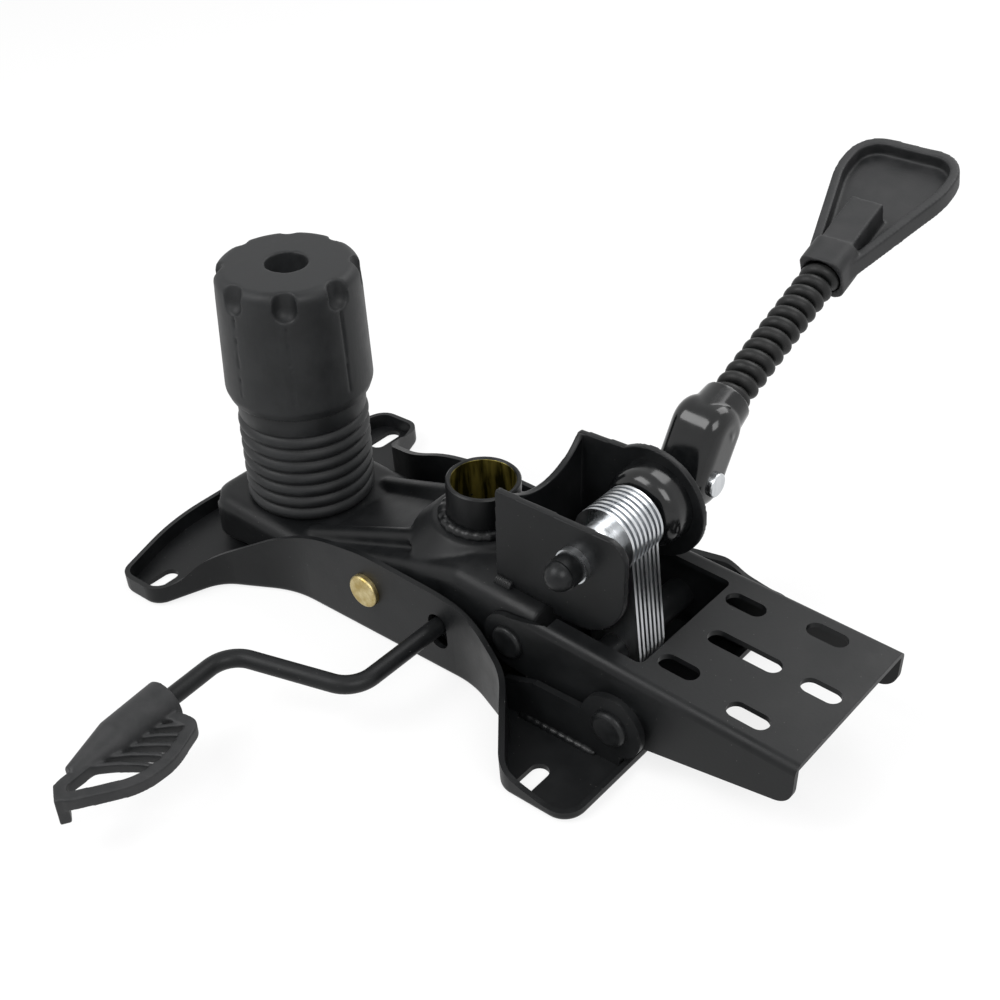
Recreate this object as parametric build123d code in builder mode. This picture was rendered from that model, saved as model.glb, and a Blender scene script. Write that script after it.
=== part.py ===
from build123d import *
from math import atan2, cos, degrees, pi, radians, sin, sqrt, tan
import os

# Office chair tilt mechanism, lying on its seat face as it comes from the box.
# +X runs from the front, where the tension knob is, to the back channel.
# +Y runs from the gas lever side to the lock lever side, +Z away from the seat.
# The origin is the middle of the four seat holes, on the seat face.
# Lengths are millimetres and angles are degrees.

os.makedirs("parts", exist_ok=True)

# Overrun of a cut past the face that it breaks, and the least gaps
overrun = 1.0
running_gap = 0.05
side_gap = 0.5

# Seat plate: pressed pan with raised edges, waisted in plan
seat_sheet = 2.5
seat_front_x = -141.5
seat_rear_x = 141.5
front_foot_front_x = -126.0
front_foot_rear_x = -100.6
front_foot_half = 91.0
nose_half = 47.0
front_neck_x = -88.9
front_neck_half = 60.6
waist_front_x = -55.0
waist_rear_x = 58.0
rear_neck_x = 84.5
rear_neck_half = 54.0
rear_foot_front_x = 106.5
rear_foot_half = 82.5
foot_corner_r = 10.0
nose_r = 110.0
front_neck_r = 20.0
rear_neck_r = 25.0
waist_r = 50.0
seat_edge_r = 3.0

# Height of the raised edge along the plate, from front to back
front_rim_h = 10.0
front_step_x = -96.0
front_rise_x = -92.0
front_rise_h = 16.0
front_slope_x = -64.0
front_slope_h = 29.0
crest_front_x = -34.0
crest_front_h = 40.5
crest_x = -4.0
crest_h = 44.5
crest_rear_x = 44.0
crest_rear_h = 42.0
rear_slope_x = 72.0
rear_slope_h = 34.5
rear_fall_x = 92.0
rear_fall_h = 26.0
rear_step_x = 112.0
rear_rim_h = 8.5
tail_x = 128.0
tail_rim_h = 5.0
step_r = 3.5
rise_r = 7.0
crest_r = 90.0
fall_r = 34.0
step_rear_r = 22.0

# Seat fixing slots, long across the chair
front_hole_x = -114.0
rear_hole_x = 114.0
front_hole_half = 77.5
rear_hole_half = 72.5
seat_slot_w = 8.5
seat_slot_l = 19.0

# Frame of the tilt box at rest: the mouth of the gas tube, leaning back
rest_lean = 4.0
tube_x = 33.0
mouth_z = 75.0

# Main pivots: the axle carries the box, the ears carry the channel
axle_x = -3.3
axle_z = 25.6
axle_r = 6.0
axle_head_r = 8.0
axle_head_t = 3.0
axle_bush_r = 9.0
axle_bush_gap = 0.3
axle_flange_t = 3.4
ear_pin_x = 134.0
ear_pin_z = 21.5
ear_pin_r = 5.0
pin_head_r = 8.0
pin_head_t = 3.0
link_head_r = 7.5
link_head_t = 2.2
link_inner_head_r = 6.8
ear_washer_r = 9.5
tilt_range = 8.0

# Gas tube
tube_r = 16.5
tube_bore_r = 14.25
tube_l = 41.0
tube_mouth_chamfer = 0.6
tube_weld_leg = 4.0

# Tilt box: pressed shell in the frame of the gas tube
box_sheet = 3.0
box_half = 37.3
box_front_x = -152.0
box_rear_x = 58.0
waist_half = box_half + axle_flange_t + axle_bush_gap + seat_sheet
box_front_top_z = -56.0
box_flat_end_x = -80.0
box_rise_end_x = 14.0
box_top_z = -21.0
box_front_low_z = -80.0
box_rear_low_z = -55.0
box_front_corner_r = 14.0
box_top_edge_r = 7.0
dome_base_r = 34.0
dome_top_r = 23.0
dome_top_z = -19.0
dome_base_z = -31.0

# Pressed stiffening ribs on the box top, between the sleeve and the tube
rib_front_x = -86.0
rib_front_y = 25.0
rib_rear_x = -16.0
rib_rear_y = 19.0
rib_rear_z = -27.0
rib_r = 5.0
rib_stand = 2.0

# Link pivot between the box and the front end of the channel
link_x = 47.5
link_z = -38.3
link_pin_r = 5.0
link_gap = 0.3

# Lock bracket: two cheeks and a web, welded to the top of the box
bracket_sheet = 3.0
bracket_half = 28.0
bracket_front_x = 31.0
bracket_rear_x = 95.5
bracket_top_z = 24.0
bracket_rear_top_z = 26.8
bracket_low_z = -24.0
bracket_low_x = 61.0
cheek_top_r = 9.0
cheek_low_r = 25.0
far_cheek_x = 70.0
far_cheek_z = 6.0
far_cheek_top_z = 28.5
web_dip_z = 11.5
bracket_weld_r = 3.0
bracket_weld_front_x = 30.5
bracket_weld_rear_x = 41.5
shaft_x = 72.0
shaft_z = 8.0
boss_r = 25.5

# Lock shaft, its nut and the plates that it clamps
shaft_r = 4.0
shaft_end_y = -38.0
shaft_eye_r = 7.5
lamella_t = 1.3
moving_count = 7
fixed_count = moving_count + 1
lamella_gap = 0.05
disc_r = 14.5
spacer_r = 9.0
bell_neck_r = 10.5
bell_neck_l = 2.0
bell_top_r = 17.5
bell_base_r = 18.5
bell_shoulder_r = 6.5
washer_r = 7.6
washer_t = 3.0
cap_nut_r = 6.9
cap_nut_h = 6.5
cap_dome_r = 6.4
strip_half = 12.5
strip_pin_x = 79.0
strip_pin_z = -46.0
strip_pin_r = 4.0
strip_spacer_r = 7.0
strip_slot_gap = 0.3

# Back channel: web with folded flanges, in the frame of the gas tube
channel_sheet = 2.5
channel_gap = 0.6
channel_half = box_half + channel_gap + channel_sheet
channel_bend_r = 4.0
channel_top_z = -21.5
channel_rear_x = 181.5
channel_web_front_x = 66.0
channel_front_low_z = -58.0
channel_front_low_x = 103.0
channel_rear_low_z = -40.5
channel_nose_r = 13.0
channel_rear_corner_r = 9.0
channel_low_corner_r = 12.0
cutout_half = 31.5
cutout_rear_x = 107.5
cutout_corner_r = 3.0

# Slots in the channel web, long along the chair
web_slot_w = 8.5
web_slot_l = 18.0
front_pair_x = 119.5
front_pair_half = 23.5
rear_pair_x = 154.0
rear_pair_half = 28.5
long_slot_x = 134.0
long_slot_l = 33.0
tail_slot_x = 168.0
tail_slot_l = 17.0

# Ears welded to the seat plate
ear_sheet = 3.0
ear_front_x = 79.0
ear_top_z = 23.5
ear_front_top_z = 18.5
ear_boss_r = 14.5
ear_low_rear_x = 138.0
ear_weld_r = 2.2
ear_weld_front_x = 86.0
ear_weld_rear_x = 126.0

# Tension bolt, spring and knob, on an axis square to the box top
bolt_x = -113.8
bolt_r = 5.0
bolt_top_z = 56.0
bolt_head_r = 8.0
bolt_head_t = 5.0
bolt_gap = 0.4
bolt_low_z = -74.5
bolt_hole_r = 8.5
anchor_half = 16.0
anchor_l = 34.0
anchor_h = 13.0
anchor_sheet = 3.0
sleeve_r = 31.0
sleeve_valley_r = 28.6
sleeve_collar_r = 30.2
sleeve_bore_r = 26.5
sleeve_top_z = 8.0
sleeve_ribs = 7
sleeve_rib_pitch = 6.7
sleeve_rib_shares = (0.0, 0.3, 0.6, 0.9)
seat_cup_r = 26.0
seat_cup_t = 2.0
spring_r = 18.5
spring_wire_r = 3.0
spring_turns = 5
spring_bend = 7.0
spring_cap_z = 18.0
spring_cap_t = 2.5
spring_cap_r = 25.5

# Knob
knob_top_z = 66.0
knob_low_z = 2.5
knob_top_r = 32.6
knob_low_r = 34.6
knob_shoulder_r = 5.0
knob_chamfer = 4.5
knob_chamfer_in = 1.6
knob_wall = 2.2
knob_core_r = 25.0
knob_core_z = 31.0
knob_roof = 6.0
knob_hub_r = 13.0
knob_eye_r = 9.7
knob_eye_depth = 12.0
knob_grips = 8
knob_grip_r = 5.6
knob_grip_depth = 4.4
knob_grip_h = 13.0
knob_groove_w = 1.3
knob_groove_depth = 0.7
knob_groove_low = 9.0
knob_nut_half = 8.0
knob_nut_h = 8.0

# Gas lever: bent rod with a moulded paddle
rod_r = 4.0
rod_x = 10.5
rod_z = -49.0
rod_inner_y = 5.0
rod_first_y = -93.0
rod_crank_x = -46.0
rod_crank_y = -112.0
rod_end_x = -41.2
rod_grip_y = -146.5
rod_end_y = -180.0
rod_bend_r = 14.0
lever_bush_r = 7.5
lever_bush_flange_r = 10.0
lever_bush_gap = 0.35
lever_bush_flange_t = 1.8
tongue_tip_x = -9.0
tongue_half = 5.0
tongue_t = 3.0
skirt_slot_half = 5.2
skirt_slot_low_gap = 2.0
skirt_slot_top_gap = 2.0

# Gas lever grip: tapered barrel on the rod, ringed leaf with slanted ribs
grip_r = 10.0
grip_mid_r = 9.2
grip_mid_l = 27.0
grip_tip_r = 3.8
grip_l = 49.0
paddle_start_l = 6.0
paddle_turn_x = 12.0
paddle_turn_l = 2.5
paddle_near_x = 21.5
paddle_near_l = 0.5
paddle_wide_x = 28.9
paddle_wide_l = 22.0
paddle_far_x = 27.5
paddle_far_l = 38.0
paddle_fall_x = 13.0
paddle_fall_l = 57.5
paddle_tip_x = 8.0
paddle_tip_l = 63.0
paddle_back_l = 57.0
paddle_corner_r = 6.5
paddle_side_r = 30.0
paddle_fall_r = 20.0
paddle_tip_r = 5.5
paddle_rim = 5.0
paddle_rim_h = 6.0
paddle_ribs = 5
paddle_rib_w = 2.0
paddle_rib_h = 5.0
paddle_rib_bow = 2.0
paddle_rib_foot_x = 1.0
paddle_rib_foot_l = 27.0
paddle_rib_foot_step = 5.2
paddle_rib_head_x = 20.5
paddle_rib_head_step_x = 1.2
paddle_rib_head_l = 5.0
paddle_rib_head_step = 5.8
tail_tab_x = 5.2
tail_tab_l = 58.4
tail_tab_w = 9.0
tail_tab_t = 4.5
tail_tab_turn = 37.0
tail_tab_drop = 7.5

# Lock lever: cam socket on the shaft end, flexible coil, paddle
cam_y = 49.0
cam_pin_r = 3.0
cam_pin_head_r = 5.5
cam_pin_head_t = 2.4
cam_bush_r = 12.0
cam_bush_end_y = 36.0
socket_half = 12.5
socket_eye_r = 12.5
socket_round_r = 7.0
socket_cup_r = 10.9
cup_bore_gap = 0.3
cup_lip = 4.0
fork_half = 5.0
fork_gap = 0.4
arm_rise = 18.9
arm_yaw = 2.0
arm_y = 71.0
arm_z = 30.0
coil_wire_r = 2.9
coil_r = 5.9
coil_pitch = 6.95
coil_turns = 12
coil_bend = 7.0

# Lock paddle, in its own plane along the arm
lock_paddle_flare = 90.0
lock_paddle_wide = 150.0
lock_paddle_end = 173.0
lock_paddle_neck_half = 10.5
lock_paddle_neck_l = 15.0
lock_paddle_half = 28.5
lock_paddle_end_half = 25.5
lock_paddle_corner_r = 15.0
lock_paddle_side_r = 45.0
lock_paddle_t = 2.6
lock_paddle_rim = 4.5
lock_paddle_rim_h = 9.0
lock_boss_half = 7.8
lock_boss_end = 127.0
lock_boss_h = 11.0

# Frame of the box, the channel and everything mounted on them, at rest
lean = radians(rest_lean)
box_frame = Plane(
    origin=(tube_x, 0, mouth_z),
    x_dir=(cos(lean), 0, -sin(lean)),
    z_dir=(sin(lean), 0, cos(lean)),
)


def box_level(z: float = 0, x: float = 0, y: float = 0) -> Plane:
    """Plane square to the gas tube through a point given in the box frame."""
    centre = box_frame.from_local_coords(Vector(x, y, z))
    return Plane(origin=centre, x_dir=box_frame.x_dir, z_dir=box_frame.z_dir)


def box_side(y: float) -> Plane:
    """Plane along the chair at a distance y, with x and z of the box frame."""
    centre = box_frame.from_local_coords(Vector(0, y, 0))
    return Plane(origin=centre, x_dir=box_frame.x_dir, z_dir=(0, -1, 0))


def box_cross(x: float) -> Plane:
    """Plane across the chair at a distance x, with y and z of the box frame."""
    return Plane(origin=box_point(x, 0, 0), x_dir=(0, 1, 0), z_dir=box_frame.x_dir)


def seat_side(y: float) -> Plane:
    """Plane along the chair at a distance y, with x and z of the seat plate."""
    return Plane(origin=(0, y, 0), x_dir=(1, 0, 0), z_dir=(0, -1, 0))


def box_point(x: float, y: float, z: float) -> Vector:
    """Point of the box frame, in the frame of the part."""
    return box_frame.from_local_coords(Vector(x, y, z))


def in_box(point: Vector) -> Vector:
    """Point of the part, in the frame of the box."""
    return box_frame.to_local_coords(point)


def save(piece: BuildPart, name: str) -> None:
    """Label a finished piece and write its STEP file."""
    piece.part.label = name
    export_step(piece.part, f"parts/{name}.step")


def turned(point: Vector, centre: Vector, angle: float) -> Vector:
    """Point turned about an axis along Y through centre, by degrees."""
    turn = radians(angle)
    dx = point.X - centre.X
    dz = point.Z - centre.Z
    return Vector(
        centre.X + dx * cos(turn) + dz * sin(turn),
        point.Y,
        centre.Z - dx * sin(turn) + dz * cos(turn),
    )


def cross_pin(middle: Vector, length: float, radius: float, mode: Mode = Mode.ADD) -> None:
    """Cylinder along Y about a point at its middle."""
    with Locations(middle):
        Cylinder(radius, length, rotation=(90, 0, 0), mode=mode)


def biarc(start: Vector, leave: Vector, end: Vector, arrive: Vector) -> None:
    """Two arcs, tangent to each other, between two points with directions."""
    span = end - start
    both = leave + arrive
    square = 2 * (leave.dot(arrive) - 1)
    linear = -2 * span.dot(both)
    if abs(square) < abs(linear) / 1e9:
        reach = -span.dot(span) / linear
    else:
        root = sqrt(linear * linear - 4 * square * span.dot(span))
        reach = (-linear - root) / (2 * square)
        if reach < 0:
            reach = (-linear + root) / (2 * square)
    first_knee = start + leave * reach
    last_knee = end - arrive * reach
    middle = (first_knee + last_knee) * 0.5
    TangentArc(start, middle, tangent=leave)
    TangentArc(middle, end, tangent=(last_knee - first_knee).normalized())


def coil_wire(
    frame: Plane, radius: float, pitch: float, turns: int, stub: float, bend: float
) -> None:
    """Line of a coil about the z axis of a frame, from stub to stub.

    Each end runs straight along the axis for one stub and bends into the coil
    over one bend of height. The foot of the first stub is at height zero.
    """

    def on_coil(angle: float, rise: float) -> Vector:
        return frame.from_local_coords(Vector(radius * cos(angle), radius * sin(angle), rise))

    def along_coil(angle: float) -> Vector:
        climb = pitch / (2 * pi)
        tip = Vector(-radius * sin(angle), radius * cos(angle), climb)
        return (frame.from_local_coords(tip) - frame.origin).normalized()

    lead = bend / radius
    quarters = 4 * turns
    foot = on_coil(-lead, stub)
    Line(on_coil(-lead, 0), foot)
    biarc(foot, frame.z_dir, on_coil(0, stub + bend), along_coil(0))
    for quarter in range(quarters):
        angle = quarter * pi / 2
        rise = stub + bend + quarter * pitch / 4
        here = on_coil(angle, rise)
        there = on_coil(angle + pi / 2, rise + pitch / 4)
        biarc(here, along_coil(angle), there, along_coil(angle + pi / 2))
    last_angle = quarters * pi / 2
    last_rise = stub + bend + turns * pitch
    top = on_coil(last_angle + lead, last_rise + bend)
    biarc(on_coil(last_angle, last_rise), along_coil(last_angle), top, frame.z_dir)
    Line(top, on_coil(last_angle + lead, last_rise + bend + stub))


def least_gap(edges: ShapeList, wire_r: float, turn_length: float) -> float:
    """Least gap of a wire to itself, between points over half a turn apart."""
    points = []
    travelled = 0.0
    for edge in edges:
        for share in (0.25, 0.75):
            points.append((travelled + share * edge.length, edge @ share))
        travelled += edge.length
    gap = travelled
    for index, (near, a) in enumerate(points):
        for far, b in points[index + 1:]:
            if far - near > turn_length / 2:
                gap = min(gap, (a - b).length - 2 * wire_r)
    return gap


# Places of the moving pivots at rest and with the box fully tilted
axle = Vector(axle_x, 0, axle_z)
ear_pin = Vector(ear_pin_x, 0, ear_pin_z)
link_rest = box_point(link_x, 0, link_z)
link_arm = ear_pin.X - link_rest.X
box_arm = link_rest.X - axle.X
channel_ratio = -box_arm / link_arm
channel_range = channel_ratio * tilt_range
shaft_rest = box_point(shaft_x, 0, shaft_z)
shaft_down = turned(shaft_rest, axle, tilt_range)
shaft_on_channel = turned(shaft_down, ear_pin, -channel_range)
strip_pin_rest = box_point(strip_pin_x, 0, strip_pin_z)


def strip_lean(shaft: Vector) -> float:
    """Lean of a strip, in degrees, from its pin to a place of the shaft."""
    return degrees(atan2(shaft.X - strip_pin_rest.X, shaft.Z - strip_pin_rest.Z))


strip_swing = strip_lean(shaft_on_channel) - strip_lean(shaft_rest)
strip_ratio = strip_swing / tilt_range


def link_in_box(tilt: float) -> Vector:
    """Place of the link pin in the frame of the box, when the box has tilted."""
    pin = turned(link_rest, ear_pin, channel_ratio * tilt)
    return in_box(turned(pin, axle, -tilt))


def shaft_in_strip(tilt: float) -> Vector:
    """Place of the shaft from the strip pin: x across the strip, z along it."""
    shaft = turned(shaft_rest, axle, tilt)
    on_channel = turned(shaft, ear_pin, -channel_ratio * tilt)
    on_strip = turned(on_channel, strip_pin_rest, -strip_ratio * tilt)
    upright = turned(on_strip, strip_pin_rest, -strip_lean(shaft_rest))
    return upright - strip_pin_rest


tilts = [tilt_range * step / 8 for step in range(9)]
link_path = [link_in_box(tilt) for tilt in tilts]
link_path_x = sorted(place.X for place in link_path)
link_path_z = sorted(place.Z for place in link_path)
shaft_path = [shaft_in_strip(tilt) for tilt in tilts]
shaft_path_x = sorted(place.X for place in shaft_path)
shaft_path_z = sorted(place.Z for place in shaft_path)

# Sink of the tension bolt through the box as the box tilts
bolt_foot = box_point(bolt_x, 0, bolt_low_z)
bolt_sink = (bolt_foot.Z - turned(bolt_foot, axle, tilt_range).Z) / cos(lean + radians(tilt_range))


def bolt_at_height(tilt: float, height: float) -> float:
    """Place along the chair of the bolt's axis, at a height, when the box has tilted."""
    leaned = lean + radians(tilt)
    foot = turned(bolt_foot, axle, tilt)
    return foot.X + (height - foot.Z) * sin(leaned) / cos(leaned)


# Seat plate
nose_side = Vector(front_foot_front_x - seat_front_x, front_foot_half - nose_half)
nose_turn = atan2(nose_side.X, nose_side.Y)
nose_fit_r = min(nose_r, (nose_side.length / 2) / tan(nose_turn / 2))
with BuildPart() as seat_plate:
    with BuildSketch() as seat_plan:
        with BuildLine():
            half_plan = FilletPolyline(
                (seat_front_x, 0),
                (seat_front_x, nose_half),
                (front_foot_front_x, front_foot_half),
                (front_foot_rear_x, front_foot_half),
                (front_neck_x, front_neck_half),
                (waist_front_x, waist_half),
                (waist_rear_x, waist_half),
                (rear_neck_x, rear_neck_half),
                (rear_foot_front_x, rear_foot_half),
                (seat_rear_x, rear_foot_half),
                (seat_rear_x, 0),
                radius=[
                    nose_fit_r,
                    foot_corner_r,
                    foot_corner_r,
                    front_neck_r,
                    waist_r,
                    waist_r,
                    rear_neck_r,
                    foot_corner_r,
                    foot_corner_r,
                ],
            )
            mirror(half_plan, about=Plane.XZ)
        make_face()
    extrude(amount=crest_h)
    bottom = seat_plate.faces().sort_by(Axis.Z)[0]
    fillet(bottom.edges(), radius=seat_edge_r)
    with BuildSketch(Plane.XY.offset(seat_sheet)):
        add(seat_plan.sketch)
        offset(amount=-seat_sheet, mode=Mode.REPLACE)
    extrude(amount=crest_h, mode=Mode.SUBTRACT)
    with BuildSketch(seat_side(0)):
        with BuildLine():
            FilletPolyline(
                (seat_front_x - overrun, front_rim_h),
                (front_step_x, front_rim_h),
                (front_rise_x, front_rise_h),
                (front_slope_x, front_slope_h),
                (crest_front_x, crest_front_h),
                (crest_x, crest_h),
                (crest_rear_x, crest_rear_h),
                (rear_slope_x, rear_slope_h),
                (rear_fall_x, rear_fall_h),
                (rear_step_x, rear_rim_h),
                (tail_x, tail_rim_h),
                (seat_rear_x + overrun, tail_rim_h),
                radius=[
                    step_r,
                    rise_r,
                    crest_r,
                    crest_r,
                    crest_r,
                    crest_r,
                    crest_r,
                    fall_r,
                    step_rear_r,
                    step_rear_r,
                ],
            )
            Polyline(
                (seat_rear_x + overrun, tail_rim_h),
                (seat_rear_x + overrun, -overrun),
                (seat_front_x - overrun, -overrun),
                (seat_front_x - overrun, front_rim_h),
            )
        make_face()
    extrude(amount=front_foot_half + overrun, both=True, mode=Mode.INTERSECT)
    with BuildSketch():
        with Locations((front_hole_x, -front_hole_half), (front_hole_x, front_hole_half)):
            SlotOverall(seat_slot_l, seat_slot_w, rotation=90)
        with Locations((rear_hole_x, -rear_hole_half), (rear_hole_x, rear_hole_half)):
            SlotOverall(seat_slot_l, seat_slot_w, rotation=90)
    extrude(amount=seat_sheet + overrun, mode=Mode.SUBTRACT)
    with BuildSketch(seat_side(0)):
        with Locations((axle_x, axle_z)):
            Circle(axle_r + running_gap)
    extrude(amount=waist_half + overrun, both=True, mode=Mode.SUBTRACT)
    rod_rest = box_point(rod_x, 0, rod_z)
    rod_down = turned(rod_rest, axle, tilt_range)
    slot_top = rod_rest.Z + rod_r + skirt_slot_top_gap
    slot_low = rod_down.Z - rod_r - skirt_slot_low_gap
    with BuildSketch(seat_side(0)):
        with Locations(((rod_rest.X + rod_down.X) / 2, (slot_top + slot_low) / 2)):
            SlotOverall(slot_top - slot_low, 2 * skirt_slot_half, rotation=90)
    extrude(amount=waist_half + overrun, mode=Mode.SUBTRACT)
save(seat_plate, "seat_plate")

# Ears welded upright on the seat plate, outside the channel
ear_inner = channel_half + link_head_t + side_gap
with BuildPart() as ear_near:
    with BuildSketch(seat_side(-ear_inner)):
        with BuildLine():
            Polyline(
                (ear_front_x, seat_sheet),
                (ear_front_x, ear_front_top_z),
                (ear_front_x + ear_front_top_z - seat_sheet, ear_top_z),
                (ear_pin_x, ear_top_z),
                (ear_pin_x, ear_pin_z),
                (ear_low_rear_x, seat_sheet + seat_edge_r),
                (ear_low_rear_x, seat_sheet),
                close=True,
            )
        make_face()
        with Locations((ear_pin_x, ear_pin_z)):
            Circle(ear_boss_r)
            Circle(ear_pin_r, mode=Mode.SUBTRACT)
    extrude(amount=ear_sheet)
save(ear_near, "ear_near")

with BuildPart() as ear_far:
    mirror(ear_near.part, about=Plane.XZ)
save(ear_far, "ear_far")

# Weld beads along the outer foot of each ear
with BuildPart() as ear_welds:
    with BuildSketch(Plane.YZ.offset(ear_weld_front_x)):
        for side in (-1, 1):
            with Locations((side * (ear_inner + ear_sheet), seat_sheet)):
                Circle(ear_weld_r)
        with Locations((0, seat_sheet - ear_weld_r)):
            Rectangle(4 * ear_inner, 2 * ear_weld_r, mode=Mode.SUBTRACT)
        Rectangle(2 * (ear_inner + ear_sheet), 4 * ear_weld_r + 2 * seat_sheet, mode=Mode.SUBTRACT)
    extrude(amount=ear_weld_rear_x - ear_weld_front_x)
save(ear_welds, "ear_welds")

# Rivets that carry the channel in the ears
channel_inner = channel_half - channel_sheet
with BuildPart() as ear_rivets:
    for side in (-1, 1):
        with BuildSketch(seat_side(side * (ear_inner + ear_sheet))):
            with Locations((ear_pin_x, ear_pin_z)):
                Circle(pin_head_r)
        extrude(amount=-side * pin_head_t)
        with BuildSketch(seat_side(side * (channel_inner - side_gap))):
            with Locations((ear_pin_x, ear_pin_z)):
                Circle(ear_pin_r)
        extrude(amount=-side * (ear_inner + ear_sheet - channel_inner + side_gap))
        with BuildSketch(seat_side(side * (channel_inner - side_gap))):
            with Locations((ear_pin_x, ear_pin_z)):
                Circle(pin_head_r)
        extrude(amount=side * pin_head_t)
    heads = ear_rivets.faces().filter_by(Axis.Y).sort_by(Axis.Y)
    fillet(heads[0].edges() + heads[-1].edges(), radius=pin_head_t * 2 / 3)
save(ear_rivets, "ear_rivets")

# Main axle, across the seat plate and the box
with BuildPart() as tilt_axle:
    with BuildSketch(seat_side(0)):
        with Locations((axle_x, axle_z)):
            Circle(axle_r)
    extrude(amount=waist_half + overrun, both=True)
    for side in (-1, 1):
        with BuildSketch(seat_side(side * waist_half)):
            with Locations((axle_x, axle_z)):
                Circle(axle_head_r)
        extrude(amount=-side * axle_head_t)
    ends = tilt_axle.faces().filter_by(Axis.Y).sort_by(Axis.Y)
    fillet(ends[0].edges() + ends[-1].edges(), radius=axle_head_t / 2)
save(tilt_axle, "tilt_axle")

# Tilt box: pressed shell, open towards the seat plate
box_profile = [
    (box_front_x, box_front_low_z),
    (box_front_x, box_front_top_z),
    (box_flat_end_x, box_front_top_z),
    (box_rise_end_x, box_top_z),
    (box_rear_x, box_top_z),
    (box_rear_x, box_rear_low_z),
]
well_half = box_half - box_sheet
slope_rise = (box_top_z - box_front_top_z) / (box_rise_end_x - box_flat_end_x)
slope_shift = box_sheet * (sqrt(1 + slope_rise * slope_rise) - 1) / slope_rise
well_profile = [
    (box_front_x + box_sheet, box_front_low_z - overrun),
    (box_front_x + box_sheet, box_front_top_z - box_sheet),
    (box_flat_end_x + slope_shift, box_front_top_z - box_sheet),
    (box_rise_end_x + slope_shift, box_top_z - box_sheet),
    (box_rear_x - box_sheet, box_top_z - box_sheet),
    (box_rear_x - box_sheet, box_front_low_z - overrun),
]
with BuildPart() as tilt_box:
    with BuildSketch(box_side(0)):
        with BuildLine():
            Polyline(*box_profile, close=True)
        make_face()
    extrude(amount=box_half, both=True)
    uprights = tilt_box.edges().filter_by(Axis(box_point(0, 0, 0), box_frame.z_dir))
    fillet(uprights.sort_by(Axis.X)[:2], radius=box_front_corner_r)
    top_faces = tilt_box.faces().filter_by(lambda f: f.normal_at().Z > cos(pi / 4))
    rim = [e for e in top_faces.edges() if abs((e @ 0.5).Y) > box_half / 2]
    fillet(rim, radius=box_top_edge_r)
    with BuildSketch(box_level(dome_base_z)):
        Circle(dome_base_r)
    with BuildSketch(box_level(dome_top_z)):
        Circle(dome_top_r)
    loft()
    for side in (-1, 1):
        rib_foot = box_point(rib_front_x, side * rib_front_y, box_front_top_z + rib_stand - rib_r)
        rib_head = box_point(rib_rear_x, side * rib_rear_y, rib_rear_z + rib_stand - rib_r)
        rib_line = rib_head - rib_foot
        with BuildSketch(Plane(origin=rib_foot, z_dir=rib_line)):
            Circle(rib_r)
        extrude(amount=rib_line.length)
        with Locations(rib_foot, rib_head):
            Sphere(rib_r)
    with BuildSketch(box_side(0)):
        with BuildLine():
            Polyline(*well_profile, close=True)
        make_face()
    extrude(amount=well_half, both=True, mode=Mode.SUBTRACT)
    with BuildSketch(box_level(box_front_low_z)):
        Circle(tube_r)
    extrude(amount=-box_front_low_z, mode=Mode.SUBTRACT)
    with BuildSketch(box_level(box_front_low_z, bolt_x)):
        Circle(bolt_hole_r)
    extrude(amount=-box_front_low_z, mode=Mode.SUBTRACT)
    cross_pin(axle, 4 * box_half, axle_bush_r, Mode.SUBTRACT)
    link_room = link_pin_r + link_gap + (link_path_z[-1] - link_path_z[0]) / 2
    link_middle_x = (link_path_x[0] + link_path_x[-1]) / 2
    link_middle_z = (link_path_z[0] + link_path_z[-1]) / 2
    with BuildSketch(box_side(0)):
        with Locations((link_middle_x, link_middle_z)):
            SlotOverall(2 * link_room + link_path_x[-1] - link_path_x[0], 2 * link_room)
    extrude(amount=box_half + overrun, both=True, mode=Mode.SUBTRACT)
    with BuildSketch(box_side(0)):
        with Locations((rod_x, rod_z)):
            Circle(lever_bush_r)
    extrude(amount=box_half + overrun, mode=Mode.SUBTRACT)
save(tilt_box, "tilt_box")

# Gas tube and the weld bead round its foot
with BuildPart() as gas_tube:
    with BuildSketch(box_level(-tube_l)):
        Circle(tube_r)
        Circle(tube_bore_r, mode=Mode.SUBTRACT)
    extrude(amount=tube_l)
    mouth = gas_tube.edges().filter_by(GeomType.CIRCLE).sort_by(Axis.Z)[-2:]
    chamfer(mouth, length=tube_mouth_chamfer)
save(gas_tube, "gas_tube")

with BuildPart() as tube_weld:
    with BuildSketch(box_level(dome_top_z)):
        Circle(tube_r + tube_weld_leg)
    with BuildSketch(box_level(dome_top_z + tube_weld_leg)):
        Circle(tube_r + tube_weld_leg / 4)
    loft()
    with BuildSketch(box_level(dome_top_z)):
        Circle(tube_r)
    extrude(amount=tube_weld_leg, mode=Mode.SUBTRACT)
save(tube_weld, "tube_weld")

# Flanged bushes that carry the box on the axle
with BuildPart() as axle_bushes:
    for side in (-1, 1):
        cross_pin(
            axle + Vector(0, side * (box_half - box_sheet / 2), 0),
            box_sheet,
            axle_bush_r,
        )
        cross_pin(
            axle + Vector(0, side * (box_half + axle_flange_t / 2), 0),
            axle_flange_t,
            axle_bush_r + box_sheet,
        )
    cross_pin(axle, 4 * box_half, axle_r + running_gap, Mode.SUBTRACT)
save(axle_bushes, "axle_bushes")

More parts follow.
